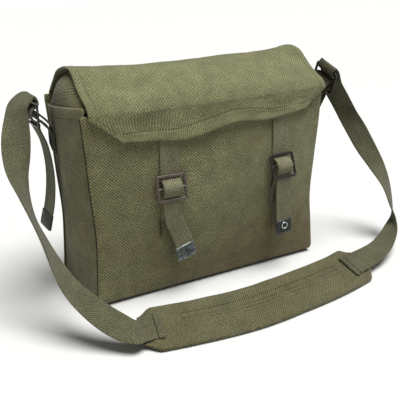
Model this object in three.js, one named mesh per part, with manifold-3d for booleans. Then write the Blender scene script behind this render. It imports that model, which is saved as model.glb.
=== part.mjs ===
// A small canvas haversack: an arched lid, two closing straps and a padded shoulder strap.
// Millimetres, +Z up. The origin is the middle of the flat bottom, and the front faces -Y.

import * as THREE from "three";
import { mergeVertices } from "three/addons/utils/BufferGeometryUtils.js";
import Module from "manifold-3d";

const wasm = await Module();
wasm.setup();

// Driving dimensions: the cloth body
const bagWidth = 336;          // between the side seams at the floor
const bagDepth = 122;          // front to back, outside the cloth
const frontHeight = 244;       // front wall, floor to its top edge
const backHeight = 248;        // back wall, floor to its top edge
const bottomRadius = 14;       // rounding between walls and bottom, outside
const cloth = 2;               // thickness of the canvas
const seamGap = 0.3;           // clearance between pieces that touch
const frontBulge = 15;         // how far the filled front wall stands out
const backBulge = 8;
const gussetBulge = 13;
const dentDepth = 1.8;         // the deepest soft dent of the front wall
const gussetHemFront = { left: 253, right: 243 };   // the gussets' top hems at the front
const gussetHemBack = 236;     // and at the back

// Driving dimensions: the lid and the ears
const lidWidth = 337;
const lidRise = 44;            // top of the arch above the walls
const lidHemDepth = 20;        // how far the lid overlaps the back wall
const lidFall = 35;            // front edge below the front wall's top, at the chamfers
const lidLift = 1.2;           // air between the lid and the straps under it
const chamferWide = 36;        // cut corner of the lid, across
const chamferTall = 30;        // and down, from the front edge up
const earReach = 50;           // how far an ear folds in under the lid
const earTuck = 24;            // how far an ear is sewn down inside the gusset
const earSideGap = 4;          // an ear is narrower than the mouth by this at each side

// Driving dimensions: the closing straps
const narrowWebbing = 25;
const narrowThick = 1.8;
const frontBuckleWidth = 40;
const frontBuckleHeight = 34;
const bottomKick = 7;          // how far a pulled buckle's lower end stands off
const tipStandOff = 12;        // how far a tail's tip hangs off the front wall
const narrowEase = 0.2;        // slack under the straps where they lie on the wall
const tipHeight = 18;
const tipPlate = 0.7;
const tipHole = 3.2;

// Driving dimensions: the shoulder strap
const wideWebbing = 34;
const wideThick = 2;
const sideBuckleWidth = 46;
const sideBuckleHeight = 32;
const wideEase = 0.6;          // slack between the layers of a side chape
const crestRise = 3.6;         // how far a strap clears the top bar that it turns over
const padWidth = 63;
const padThick = 8;
const padEndThick = 3.4;
const padGather = 0.64;        // both ends are gathered to this share of the width
const padTilt = 23;            // degrees, the pad's far edge is raised by this

// Shared by all four buckles
const barWide = 3.8;           // a bar of the frame, seen from the front
const barThick = 2.6;
const centreBar = 3;           // diameter

// Where things sit, as shares of the bag's sizes
const CLOSINGS = [
  { name: "left", across: -0.44, buckleUp: 0.612, strapTop: 0.93, chapeEnd: 0.375, tail: 0.225, lean: 0.27, off: 0.75, kick: 0.14 },
  { name: "right", across: 0.545, buckleUp: 0.618, strapTop: 0.94, chapeEnd: 0.385, tail: 0.235, lean: 0.05, off: 1, kick: 1 },
];

// Side seams: half widths as shares of half the bag's width, by height
const SEAMS = [
  { up: 0, left: 1, right: 0.995 },
  { up: 0.2, left: 0.985, right: 0.965 },
  { up: 0.38, left: 0.98, right: 0.94 },
  { up: 0.6, left: 1.005, right: 0.96 },
  { up: 0.8, left: 1.025, right: 0.985 },
  { up: 1, left: 1.05, right: 1 },
];

// How full the walls are, as shares of their bulge, by height
const FULLNESS = [
  { up: 0, front: 0, back: 0, gusset: 0 },
  { up: 0.08, front: 0.12, back: 0.15, gusset: 0.2 },
  { up: 0.25, front: 0.6, back: 0.6, gusset: 0.75 },
  { up: 0.5, front: 1, back: 1, gusset: 1 },
  { up: 0.75, front: 0.95, back: 0.9, gusset: 0.85 },
  { up: 1, front: 0.7, back: 0.5, gusset: 0.35 },
];

// Soft dents and folds of the front wall: place and size as shares of its width and height, depth as
// a share of dentDepth
const DENTS = [
  { across: -0.62, up: 0.3, wide: 0.2, tall: 0.3, deep: -0.9 },
  { across: -0.2, up: 0.5, wide: 0.24, tall: 0.35, deep: 0.9 },
  { across: 0.28, up: 0.28, wide: 0.22, tall: 0.3, deep: -1 },
  { across: 0.7, up: 0.62, wide: 0.16, tall: 0.35, deep: 1 },
  { across: 0.05, up: 0.12, wide: 0.3, tall: 0.1, deep: 0.8 },
];

// The lid's arch from back to front: height as a share of its rise, at both edges and between
const ARCH = [
  { along: 0, left: 0, middle: 0, right: 0 },
  { along: 0.12, left: 0.36, middle: 0.4, right: 0.5 },
  { along: 0.24, left: 0.7, middle: 0.64, right: 0.8 },
  { along: 0.4, left: 0.9, middle: 0.8, right: 0.92 },
  { along: 0.55, left: 0.97, middle: 0.84, right: 0.85 },
  { along: 0.64, left: 0.88, middle: 0.81, right: 0.67 },
  { along: 0.74, left: 0.58, middle: 0.7, right: 0.46 },
  { along: 0.86, left: 0.34, middle: 0.48, right: 0.27 },
  { along: 0.95, left: 0.2, middle: 0.28, right: 0.15 },
  { along: 1, left: 0, middle: 0, right: 0 },
];

// The lid's front edge: depth of the fall as a share of lidFall, by place across
const LID_EDGE = [
  { across: -1, fall: 0.95 },
  { across: -0.72, fall: 1 },
  { across: -0.4, fall: 1.1 },
  { across: -0.1, fall: 0.92 },
  { across: 0.15, fall: 0.76 },
  { across: 0.5, fall: 0.86 },
  { across: 0.8, fall: 0.78 },
  { across: 1, fall: 0.7 },
];

// An ear, from where it is sewn to its free edge: shares of its reach and its rise
const EAR = [
  { inward: 0, rise: 0 },
  { inward: 0, rise: 0.42 },
  { inward: 0.05, rise: 0.68 },
  { inward: 0.2, rise: 0.88 },
  { inward: 0.5, rise: 0.98 },
  { inward: 1, rise: 1 },
];

// The shoulder strap's two routes from buckle to pad. Places are shares of half the width, the
// depth and the back's height; turn and tilt are the degrees of the webbing's width direction.
const LEFT_ROUTE = [
  { out: 1.24, forth: -0.245, up: 1.03, turn: -82, tilt: -6 },
  { out: 1.31, forth: -0.23, up: 0.992, turn: -68, tilt: -4 },
  { out: 1.345, forth: -0.165, up: 0.93, turn: -48, tilt: 4 },
  { out: 1.375, forth: -0.08, up: 0.863, turn: -25, tilt: 0 },
  { out: 1.41, forth: 0.04, up: 0.766, turn: 6, tilt: -8 },
  { out: 1.43, forth: 0.14, up: 0.71, turn: 28, tilt: -12 },
  { out: 1.43, forth: 0.27, up: 0.635, turn: 50, tilt: -16 },
  { out: 1.415, forth: 0.43, up: 0.54, turn: 64, tilt: -18 },
  { out: 1.38, forth: 0.55, up: 0.45, turn: 62, tilt: -16 },
  { out: 1.345, forth: 0.7, up: 0.355, turn: 53, tilt: -10 },
  { out: 1.3, forth: 0.85, up: 0.27, turn: 42, tilt: -3 },
  { out: 1.24, forth: 0.985, up: 0.21, turn: 35, tilt: 5 },
  { out: 1.15, forth: 1.14, up: 0.148, turn: 37, tilt: 20 },
  { out: 1.07, forth: 1.25, up: 0.11, turn: 48, tilt: 28 },
  { out: 0.985, forth: 1.33, up: 0.085, turn: 68, tilt: 22 },
];
const RIGHT_ROUTE = [
  { out: 1.245, forth: 0.235, up: 1.045, turn: -82, tilt: -10 },
  { out: 1.285, forth: 0.215, up: 0.96, turn: -74, tilt: 6 },
  { out: 1.335, forth: 0.225, up: 0.9, turn: -62, tilt: 3 },
  { out: 1.43, forth: 0.25, up: 0.8, turn: -40, tilt: -6 },
  { out: 1.535, forth: 0.31, up: 0.68, turn: -20, tilt: 5 },
  { out: 1.63, forth: 0.37, up: 0.565, turn: -10, tilt: 9 },
  { out: 1.745, forth: 0.445, up: 0.435, turn: 9, tilt: 4 },
  { out: 1.8, forth: 0.55, up: 0.325, turn: 27, tilt: -5 },
  { out: 1.805, forth: 0.655, up: 0.215, turn: 38, tilt: -14 },
  { out: 1.78, forth: 0.745, up: 0.155, turn: 54, tilt: -12 },
  { out: 1.685, forth: 0.85, up: 0.11, turn: 76, tilt: -5 },
  { out: 1.5, forth: 1, up: 0.075, turn: 90, tilt: 3 },
  { out: 1.32, forth: 1.12, up: 0.07, turn: 94, tilt: 12 },
];

// The pad's middle line on the floor, from its left end to its right end
const PAD_ROUTE = [
  { out: -0.93, forth: 1.262 },
  { out: -0.58, forth: 1.355 },
  { out: -0.12, forth: 1.425 },
  { out: 0.27, forth: 1.395 },
  { out: 0.66, forth: 1.335 },
  { out: 0.93, forth: 1.26 },
  { out: 1.1, forth: 1.195 },
];

// The shoulder buckles: place as shares of half the width, the depth and the back's height, and
// how far, in degrees, the strap's pull leans each one forward
const SHOULDERS = [
  { name: "left", side: -1, out: 1.215, forth: -0.22, up: 0.95, lean: 0, route: LEFT_ROUTE, tabFrom: 0.012, tabTo: 0.115 },
  { name: "right", side: 1, out: 1.21, forth: 0.2, up: 0.995, lean: 20, route: RIGHT_ROUTE, tabFrom: 0.988, tabTo: 0.9 },
];
const SHOULDER_CHAPE = { sewnEnd: 0.75, sewnTop: 0.87 };

// A tail hangs from its buckle to its tip: shares of half the width and of the back's height
const TAIL = [
  { out: 1.15, up: 0.8, turn: -92 },
  { out: 1.125, up: 0.7, turn: -96 },
  { out: 1.12, up: 0.6, turn: -100 },
  { out: 1.14, up: 0.48, turn: -101 },
  { out: 1.185, up: 0.36, turn: -101 },
];

const halfWidth = bagWidth / 2;
const halfDepth = bagDepth / 2;
const V = (x, y, z) => new THREE.Vector3(x, y, z);
const X = V(1, 0, 0);
const Z = V(0, 0, 1);

// A smooth value of one column of a table at a place along its key column
function column(table, key, name, at) {
  const last = table.length - 1;
  let i = 0;
  while (i < last - 1 && at > table[i + 1][key]) i += 1;
  const span = table[i + 1][key] - table[i][key];
  const t = THREE.MathUtils.clamp((at - table[i][key]) / span, 0, 1);
  const slope = (k) => {
    const a = table[Math.max(k - 1, 0)];
    const b = table[Math.min(k + 1, last)];
    return ((b[name] - a[name]) / (b[key] - a[key])) * span;
  };
  const t2 = t * t;
  const t3 = t2 * t;
  return (2 * t3 - 3 * t2 + 1) * table[i][name] + (t3 - 2 * t2 + t) * slope(i)
    + (3 * t2 - 2 * t3) * table[i + 1][name] + (t3 - t2) * slope(i + 1);
}

// Triangles of a closed mesh from its corner points, turned to face outwards
function closedGeometry(points, triangles) {
  let volume = 0;
  for (const [a, b, c] of triangles) {
    volume += points[a].dot(V(0, 0, 0).crossVectors(points[b], points[c]));
  }
  const index = triangles.flatMap(([a, b, c]) => (volume > 0 ? [a, b, c] : [a, c, b]));
  const geometry = new THREE.BufferGeometry();
  geometry.setAttribute("position", new THREE.Float32BufferAttribute(points.flatMap((p) => p.toArray()), 3));
  geometry.setIndex(index);
  geometry.computeVertexNormals();
  return geometry;
}

// A sheet of even thickness about a grid of points, with its rims closed
function thickSheet(grid, thickness) {
  const rows = grid.length;
  const cols = grid[0].length;
  const points = [];
  const at = (i, j, face) => (i * cols + j) * 2 + face;
  for (let i = 0; i < rows; i += 1) {
    for (let j = 0; j < cols; j += 1) {
      const down = grid[Math.min(i + 1, rows - 1)][j].clone().sub(grid[Math.max(i - 1, 0)][j]);
      const along = grid[i][Math.min(j + 1, cols - 1)].clone().sub(grid[i][Math.max(j - 1, 0)]);
      const normal = down.cross(along).normalize().multiplyScalar(thickness / 2);
      points.push(grid[i][j].clone().add(normal), grid[i][j].clone().sub(normal));
    }
  }
  const triangles = [];
  const quad = (a, b, c, d) => triangles.push([a, b, c], [a, c, d]);
  for (let i = 0; i < rows - 1; i += 1) {
    for (let j = 0; j < cols - 1; j += 1) {
      quad(at(i, j, 0), at(i + 1, j, 0), at(i + 1, j + 1, 0), at(i, j + 1, 0));
      quad(at(i, j, 1), at(i, j + 1, 1), at(i + 1, j + 1, 1), at(i + 1, j, 1));
    }
    quad(at(i, 0, 0), at(i, 0, 1), at(i + 1, 0, 1), at(i + 1, 0, 0));
    quad(at(i, cols - 1, 0), at(i + 1, cols - 1, 0), at(i + 1, cols - 1, 1), at(i, cols - 1, 1));
  }
  for (let j = 0; j < cols - 1; j += 1) {
    quad(at(0, j, 0), at(0, j + 1, 0), at(0, j + 1, 1), at(0, j, 1));
    quad(at(rows - 1, j, 0), at(rows - 1, j, 1), at(rows - 1, j + 1, 1), at(rows - 1, j + 1, 0));
  }
  return closedGeometry(points, triangles);
}

// A solid through rings of points, with flat ends
function loft(rings) {
  const around = rings[0].length;
  const points = rings.flat();
  const triangles = [];
  for (let i = 0; i < rings.length - 1; i += 1) {
    for (let j = 0; j < around; j += 1) {
      const a = i * around + j;
      const b = i * around + ((j + 1) % around);
      triangles.push([a, b, b + around], [a, b + around, a + around]);
    }
  }
  const end = (rings.length - 1) * around;
  for (let j = 1; j < around - 1; j += 1) {
    triangles.push([0, j + 1, j], [end, end + j, end + j + 1]);
  }
  return closedGeometry(points, triangles);
}

// Webbing along a list of { p, across } stations, with a few steps between each two
function webbing(stations, width, thickness, steps) {
  const route = new THREE.CatmullRomCurve3(stations.map((s) => s.p), false, "centripetal");
  const turning = new THREE.CatmullRomCurve3(stations.map((s) => s.across), false, "catmullrom", 0.5);
  const count = (stations.length - 1) * steps;
  const grid = [];
  for (let i = 0; i <= count; i += 1) {
    const p = route.getPoint(i / count);
    const across = turning.getPoint(i / count).normalize();
    grid.push([p.clone().addScaledVector(across, -width / 2), p.clone().addScaledVector(across, width / 2)]);
  }
  return thickSheet(grid, thickness);
}

// Solids for joining and cutting
function toSolid(geometry) {
  const bare = geometry.clone();
  bare.deleteAttribute("normal");
  bare.deleteAttribute("uv");
  const merged = mergeVertices(bare, 1e-4);
  const vertProperties = new Float32Array(merged.attributes.position.array);
  const triVerts = new Uint32Array(merged.index.array);
  return new wasm.Manifold(new wasm.Mesh({ numProp: 3, vertProperties, triVerts }));
}
function fromSolid(solid) {
  const mesh = solid.getMesh();
  const geometry = new THREE.BufferGeometry();
  geometry.setAttribute("position", new THREE.BufferAttribute(new Float32Array(mesh.vertProperties), 3));
  geometry.setIndex(new THREE.BufferAttribute(new Uint32Array(mesh.triVerts), 1));
  geometry.computeVertexNormals();
  return geometry;
}

// The side seam's x at a height, and the bag's walls as places in space
const seamX = (side, z) => side * halfWidth * column(SEAMS, "up", side < 0 ? "left" : "right", z / frontHeight);

function wallBulge(wall, share, z, height, most) {
  const across = Math.max(1 - Math.abs(share) ** 2.4, 0);
  return most * across * column(FULLNESS, "up", wall, z / height);
}

function dents(share, z) {
  const place = (d) => ((share - d.across) / d.wide) ** 2 + ((z / frontHeight - d.up) / d.tall) ** 2;
  const edge = Math.max(1 - share ** 6, 0) * Math.min(z / (3 * bottomRadius), 1);
  return dentDepth * edge * DENTS.reduce((sum, d) => sum + d.deep * Math.exp(-2 * place(d)), 0);
}

// Share of the way from the middle to the seam, for a point of the front or back wall
const widthShare = (x, z) => x / Math.abs(seamX(x < 0 ? -1 : 1, z));

function frontY(x, z) {
  const share = THREE.MathUtils.clamp(widthShare(x, z), -1, 1);
  return -(halfDepth - cloth / 2) - wallBulge("front", share, z, frontHeight, frontBulge) - dents(share, z);
}
function backY(x, z) {
  const share = THREE.MathUtils.clamp(widthShare(x, z), -1, 1);
  return halfDepth - cloth / 2 + wallBulge("back", share, z, backHeight, backBulge);
}
const onFront = (x, z, off) => V(x, frontY(x, z) - off, z);

// The front wall's own direction across a piece of webbing that lies on it
const acrossFront = (x, z) => (
  onFront(x + narrowWebbing / 2, z, 0).sub(onFront(x - narrowWebbing / 2, z, 0)).normalize());

// The long panel: down the front, round the bottom and up the back
function mainPanel() {
  const middle = bottomRadius - cloth / 2;
  const flat = halfDepth - bottomRadius;
  const cols = 16;
  const rows = [];
  const wall = (from, to, count, yAt) => {
    for (let i = 0; i < count; i += 1) rows.push({ z: THREE.MathUtils.lerp(from, to, i / count), yAt });
  };
  const corner = (side, from, to, count) => {
    for (let i = 0; i < count; i += 1) {
      const a = THREE.MathUtils.degToRad(THREE.MathUtils.lerp(from, to, i / count));
      const y = side * (flat + middle * Math.cos(a));
      const z = bottomRadius - middle * Math.sin(a);
      rows.push({ z, yAt: () => y });
    }
  };
  wall(frontHeight, bottomRadius, 11, frontY);
  corner(-1, 0, 90, 4);
  rows.push({ z: cloth / 2, yAt: () => -flat }, { z: cloth / 2, yAt: () => 0 });
  corner(1, 90, 0, 4);
  wall(bottomRadius, backHeight, 9, backY);
  rows.push({ z: backHeight, yAt: backY });
  const grid = rows.map(({ z, yAt }) => Array.from({ length: cols + 1 }, (_, j) => {
    const share = (j / cols) * 2 - 1;
    const x = Math.abs(share) * seamX(share < 0 ? -1 : 1, z);
    return V(x, yAt(x, z), z);
  }));
  return thickSheet(grid, cloth);
}

// A gusset fills the end of the long panel, edge to edge inside it
const gussetHalf = halfDepth - cloth - seamGap;
const gussetTop = (side, y) => (
  THREE.MathUtils.mapLinear(y, -gussetHalf, gussetHalf, gussetHemFront[side < 0 ? "left" : "right"], gussetHemBack));

function gussetX(side, y, z, inset) {
  const full = ((1 + Math.cos((Math.PI * y) / gussetHalf)) / 2) ** 0.75;
  const bulge = gussetBulge * full * column(FULLNESS, "up", "gusset", z / gussetHemFront.left);
  return seamX(side, z) + side * (bulge - cloth / 2 - inset);
}

function gusset(side) {
  const radius = bottomRadius - cloth - seamGap;
  const floor = cloth + seamGap;
  const cornerRows = 4;
  const wallRows = 12;
  const cols = 10;
  const grid = [];
  for (let i = 0; i <= cornerRows + wallRows; i += 1) {
    const a = (Math.PI / 2) * Math.min(i / cornerRows, 1);
    const half = gussetHalf - radius + radius * Math.sin(a);
    const share = Math.max(i - cornerRows, 0) / wallRows;
    grid.push(Array.from({ length: cols + 1 }, (_, j) => {
      const y = ((j / cols) * 2 - 1) * half;
      const z = THREE.MathUtils.lerp(floor + radius * (1 - Math.cos(a)), gussetTop(side, y), share);
      return V(gussetX(side, y, z, 0), y, z);
    }));
  }
  return thickSheet(grid, cloth);
}

// The lid: a path from the back hem over the arch, then down the front
const lidHalf = lidWidth / 2;
const underLid = narrowThick + 2 * seamGap + cloth + lidLift;

function archZ(share, along) {
  const edge = share < 0 ? "left" : "right";
  const blend = Math.abs(share) ** 3;
  const rise = THREE.MathUtils.lerp(column(ARCH, "along", "middle", along), column(ARCH, "along", edge, along), blend);
  return THREE.MathUtils.lerp(backHeight, frontHeight, along) + lidRise * rise;
}

// Where the lid's arch leaves the back wall and meets the front one, and its inner height between
const archBack = (x) => backY(x, backHeight) + cloth + seamGap;
const archFront = (x) => frontY(x, frontHeight) - underLid;

function underArch(x, y) {
  const along = THREE.MathUtils.clamp((archBack(x) - y) / (archBack(x) - archFront(x)), 0, 1);
  const share = THREE.MathUtils.clamp(x / lidHalf, -1, 1);
  const step = 0.02;
  const slope = (archZ(share, along + step) - archZ(share, along - step)) / (2 * step * bagDepth);
  return archZ(share, along) + cloth + seamGap - (cloth + 4 * seamGap) * Math.hypot(1, slope);
}

function lidPoint(share, row, archRows, fallRows, hemRows) {
  const x = share * lidHalf;
  if (row < hemRows) {
    const z = backHeight - lidHemDepth * (1 - row / hemRows);
    return V(x, backY(x, z) + cloth + seamGap, z);
  }
  const along = (row - hemRows) / archRows;
  if (along <= 1) {
    return V(x, THREE.MathUtils.lerp(archBack(x), archFront(x), along), archZ(share, along) + cloth + seamGap);
  }
  const down = (row - hemRows - archRows) / fallRows;
  const cut = THREE.MathUtils.clamp(1 - (1 - down) * (lidFall / chamferTall), 0, 1);
  const narrowed = x * (1 - (chamferWide / lidHalf) * cut);
  const z = frontHeight + cloth + seamGap - lidFall * column(LID_EDGE, "across", "fall", share) * down;
  return onFront(narrowed, z, underLid);
}

function lid() {
  const hemRows = 2;
  const archRows = 14;
  const fallRows = 6;
  const cols = 18;
  const grid = [];
  for (let row = 0; row <= hemRows + archRows + fallRows; row += 1) {
    grid.push(Array.from({ length: cols + 1 }, (_, j) => (
      lidPoint((j / cols) * 2 - 1, row, archRows, fallRows, hemRows))));
  }
  return thickSheet(grid, cloth);
}

// An ear: sewn inside a gusset's hem, it folds in under the lid
function weatherFlap(side) {
  const half = gussetHalf - earSideGap;
  const cols = 8;
  const steps = 12;
  const grid = [];
  for (let i = 0; i <= steps; i += 1) {
    const t = (i / steps) * (EAR.length - 1);
    const rows = EAR.map((row, k) => ({ ...row, k }));
    grid.push(Array.from({ length: cols + 1 }, (_, j) => {
      const y = ((j / cols) * 2 - 1) * half;
      const from = gussetTop(side, y) - earTuck;
      const inward = side * earReach * column(rows, "k", "inward", t);
      const wallX = (z) => gussetX(side, y, Math.min(z, gussetTop(side, y)), cloth + 3 * seamGap);
      const to = underArch(wallX(from) - inward, y);
      const z = THREE.MathUtils.lerp(from, to, column(rows, "k", "rise", t));
      return V(wallX(z) - inward, y, z);
    }));
  }
  return thickSheet(grid, cloth);
}

// A buckle: a rounded frame with a centre bar, in its own plane with up along +Y
function buckle(width, height) {
  const corner = 4;
  const outline = (w, h, r) => {
    const path = new THREE.Path();
    path.absarc(w / 2 - r, h / 2 - r, r, 0, Math.PI / 2);
    path.absarc(r - w / 2, h / 2 - r, r, Math.PI / 2, Math.PI);
    path.absarc(r - w / 2, r - h / 2, r, Math.PI, 1.5 * Math.PI);
    path.absarc(w / 2 - r, r - h / 2, r, 1.5 * Math.PI, 2 * Math.PI);
    return path.getPoints(1);
  };
  const bevel = barThick * 0.25;
  const shape = new THREE.Shape(outline(width - 2 * bevel, height - 2 * bevel, corner));
  shape.holes.push(new THREE.Path(outline(width - 2 * barWide + 2 * bevel, height - 2 * barWide + 2 * bevel, corner / 2)));
  const depth = barThick - 2 * bevel;
  const frame = new THREE.ExtrudeGeometry(shape, {
    depth, bevelEnabled: true, bevelSize: bevel, bevelThickness: bevel, bevelSegments: 1, curveSegments: 3,
  });
  frame.translate(0, 0, -depth / 2);
  const bar = new THREE.CylinderGeometry(centreBar / 2, centreBar / 2, width - barWide, 8);
  bar.rotateZ(Math.PI / 2);
  return fromSolid(toSolid(frame).add(toSolid(bar)));
}

// A metal tip folded round the end of a tail, in its own frame with the tail coming down along -Y
function tip(width, thickness) {
  const inner = thickness / 2 + seamGap;
  const outer = inner + tipPlate;
  const section = new THREE.Shape();
  section.moveTo(outer, tipHeight);
  section.lineTo(inner, tipHeight);
  section.lineTo(inner, inner);
  section.absarc(0, 0, inner, 0, Math.PI, true);
  section.lineTo(-inner, tipHeight);
  section.lineTo(-outer, tipHeight);
  section.lineTo(-outer, 0);
  section.absarc(0, 0, outer, Math.PI, 2 * Math.PI, false);
  section.closePath();
  const plate = new THREE.ExtrudeGeometry(section, { depth: width, bevelEnabled: false, curveSegments: 4 });
  plate.translate(0, 0, -width / 2);
  plate.rotateY(Math.PI / 2);
  const drill = new THREE.CylinderGeometry(tipHole / 2, tipHole / 2, outer, 10);
  drill.rotateX(Math.PI / 2);
  drill.translate(0, tipHeight * 0.55, outer / 2 + inner / 2);
  return fromSolid(toSolid(plate).subtract(toSolid(drill)));
}

// A mesh's place from its own across, up and outward directions
function placed(mesh, across, up, out, at) {
  mesh.matrix.makeBasis(across, up, out).setPosition(at);
  mesh.matrix.decompose(mesh.position, mesh.quaternion, mesh.scale);
  return mesh;
}

// Materials, one for each mesh
const FINISH = {
  canvas: { color: 0x6f6c4a, roughness: 0.95, metalness: 0 },
  webbing: { color: 0x747159, roughness: 0.9, metalness: 0 },
  enamel: { color: 0x3f3634, roughness: 0.45, metalness: 0.6 },
  steel: { color: 0x4a5553, roughness: 0.35, metalness: 0.9 },
};
const haversack = new THREE.Group();
function add(name, geometry, finish) {
  const mesh = new THREE.Mesh(geometry, new THREE.MeshStandardMaterial(FINISH[finish]));
  mesh.name = name;
  haversack.add(mesh);
  return mesh;
}

// A point of a buckle's own plane: up along the plane and out from it
const inPlane = (frame, up, out) => frame.centre.clone().addScaledVector(frame.up, up).addScaledVector(frame.out, out);

// How far from the centre bar's axis the wrapped chape and the strap over it lie
const wrapRadius = (thickness) => centreBar / 2 + seamGap + thickness / 2;
const overRadius = (thickness) => wrapRadius(thickness) + thickness + seamGap;

// The chape's loop round the centre bar, in on its bag side and back on the other. The approach is
// the angle that the chape comes in at, measured from straight up.
function chapeLoop(frame, thickness, approach) {
  const r = wrapRadius(thickness);
  const lead = 2 * thickness;
  const turned = (side, along) => inPlane(frame,
    along * Math.cos(approach) - side * Math.sin(approach), along * Math.sin(approach) + side * Math.cos(approach));
  const bend = [0, 45, 90, 135, 180].map((degrees) => {
    const a = THREE.MathUtils.degToRad(degrees);
    return turned(-r * Math.cos(a), r * Math.sin(a));
  });
  return { bend, before: turned(-r, -lead), after: turned(r, -lead) };
}

// The strap's way through a buckle: behind the top bar, over the centre bar, behind the bottom bar
function strapThrough(frame, height, thickness) {
  const bar = height / 2 - barWide / 2;
  const edge = barWide / 2 + 2 * seamGap;
  const behind = -(barThick / 2 + 2 * seamGap + thickness / 2);
  const over = overRadius(thickness) + 2 * seamGap;
  return {
    top: [inPlane(frame, bar + edge, behind), inPlane(frame, bar - edge, behind)],
    over: [inPlane(frame, over, over * 0.7), inPlane(frame, 0, over), inPlane(frame, -over, over * 0.7)],
    bottom: [inPlane(frame, edge - bar, behind), inPlane(frame, -bar - edge, behind)],
  };
}

function closing(row) {
  const x = row.across * halfWidth;
  const up = (share) => share * frontHeight;
  const doubled = 2 * narrowThick + 2 * seamGap;
  const clear = cloth / 2 + 2 * seamGap;
  const bar = frontBuckleHeight / 2 - barWide / 2;
  const topOff = clear + narrowThick + 2 * seamGap + barThick / 2;
  const bottomOff = topOff + doubled + row.kick * bottomKick;
  const centreZ = up(row.buckleUp);
  const top = onFront(x, centreZ + bar, topOff);
  const bottom = onFront(x, centreZ - bar, bottomOff);
  const frame = { up: top.clone().sub(bottom).normalize(), centre: top.clone().lerp(bottom, 0.5) };
  frame.out = V(0, 0, 0).crossVectors(acrossFront(x, centreZ), frame.up).normalize();
  const across = V(0, 0, 0).crossVectors(frame.up, frame.out);
  const through = strapThrough(frame, frontBuckleHeight, narrowThick);
  const layer = clear + narrowThick / 2;

  const strapPoints = [
    onFront(x, up(row.strapTop), layer + narrowEase),
    onFront(x, up(0.5 * (row.strapTop + row.buckleUp) + 0.04), layer + narrowEase),
    onFront(x, centreZ + 0.85 * frontBuckleHeight, layer + narrowEase),
    ...through.top,
    ...through.over,
    ...through.bottom,
  ];
  const tailTop = through.bottom[1].z;
  const tailEnd = up(row.tail);
  const strap = strapPoints.map((p, i) => ({ p, across: i < 3 ? acrossFront(x, p.z) : across }));
  const hang = [0.15, 0.4, 0.7, 1].map((share) => {
    const z = THREE.MathUtils.lerp(tailTop, tailEnd, share);
    const shift = (tailTop - z) * row.lean * Math.min(share * 1.5, 1);
    const off = bottomOff - barThick / 2 - seamGap - narrowThick / 2 + (row.off * tipStandOff - bottomOff * 0.4) * share * share;
    const turn = Math.atan(row.lean) * Math.min(share * 2, 1);
    const level = acrossFront(x + shift, z);
    return { p: onFront(x + shift, z, off), across: level.multiplyScalar(Math.cos(turn)).addScaledVector(Z, Math.sin(turn)) };
  });
  strap.push(...hang);
  add(`closing_strap_${row.name}`, webbing(strap, narrowWebbing, narrowThick, 3), "webbing");

  const end = hang[hang.length - 1];
  const down = hang[hang.length - 2].p.clone().sub(end.p).normalize();
  const face = V(0, 0, 0).crossVectors(end.across, down).normalize();
  const level = V(0, 0, 0).crossVectors(down, face).normalize();
  const tipAt = end.p.clone().addScaledVector(down, -narrowThick / 2 - seamGap);
  placed(add(`closing_tip_${row.name}`, tip(narrowWebbing + 1, narrowThick), "steel"), level, down, face, tipAt);

  // The chape comes up from its seam, goes round the centre bar and back down over itself
  const sewnEnd = up(row.chapeEnd);
  const fromBar = (share, off) => onFront(x, THREE.MathUtils.lerp(centreZ - bar, sewnEnd, share), off);
  const step = narrowThick + seamGap;
  const flat = (p) => ({ p, across: acrossFront(x, p.z) });
  const square = (p) => ({ p, across });
  const dive = through.bottom[0].clone().sub(through.over[2]);
  const inward = V(0, 0, 0).crossVectors(across, dive).normalize().multiplyScalar(step + 4 * seamGap);
  const underStrap = [0.5, 1].map((share) => through.over[2].clone().addScaledVector(dive, share).add(inward));
  const strapAtBar = barThick / 2 + 2 * seamGap + narrowThick / 2;
  const chape = [
    ...[1, 0.45].map((share) => flat(fromBar(share, layer))),
    square(inPlane(frame, -bar, -strapAtBar - 2 * step - 3 * seamGap)),
    square(inPlane(frame, 0.8 * -bar, -strapAtBar - 2 * step - 3 * seamGap)),
    ...chapeLoop(frame, narrowThick, 0.25).bend.map(square),
    ...underStrap.map(square),
    square(inPlane(frame, -bar, -strapAtBar - step - 2 * seamGap)),
    ...[0.45, 0.9].map((share) => flat(fromBar(share, layer + step))),
  ];
  add(`closing_chape_${row.name}`, webbing(chape, narrowWebbing, narrowThick, 3), "webbing");

  placed(add(`closing_buckle_${row.name}`, buckle(frontBuckleWidth, frontBuckleHeight), "enamel"),
    across, frame.up, frame.out, frame.centre);
}

// The pad's middle line, and its own directions along, across and up at a share of its length
const padCurve = new THREE.CatmullRomCurve3(PAD_ROUTE.map((row) => (
  V(row.out * halfWidth, -row.forth * bagDepth, 0))), false, "centripetal");

function padAt(share) {
  const tilt = THREE.MathUtils.degToRad(padTilt);
  const along = padCurve.getTangentAt(share);
  const level = V(0, 0, 0).crossVectors(Z, along);
  const across = level.clone().multiplyScalar(Math.cos(tilt)).addScaledVector(Z, Math.sin(tilt));
  const face = V(0, 0, 0).crossVectors(along, across);
  const fade = THREE.MathUtils.smoothstep(Math.min(share, 1 - share), 0, 0.09);
  const thick = THREE.MathUtils.lerp(padEndThick, padThick, fade);
  const p = padCurve.getPointAt(share);
  p.z = (padWidth / 2) * Math.sin(tilt) + (padThick / 4) * Math.cos(tilt);
  const wide = padWidth * THREE.MathUtils.lerp(padGather, 1, fade);
  return { p, across, face, thick, wide };
}

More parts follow.
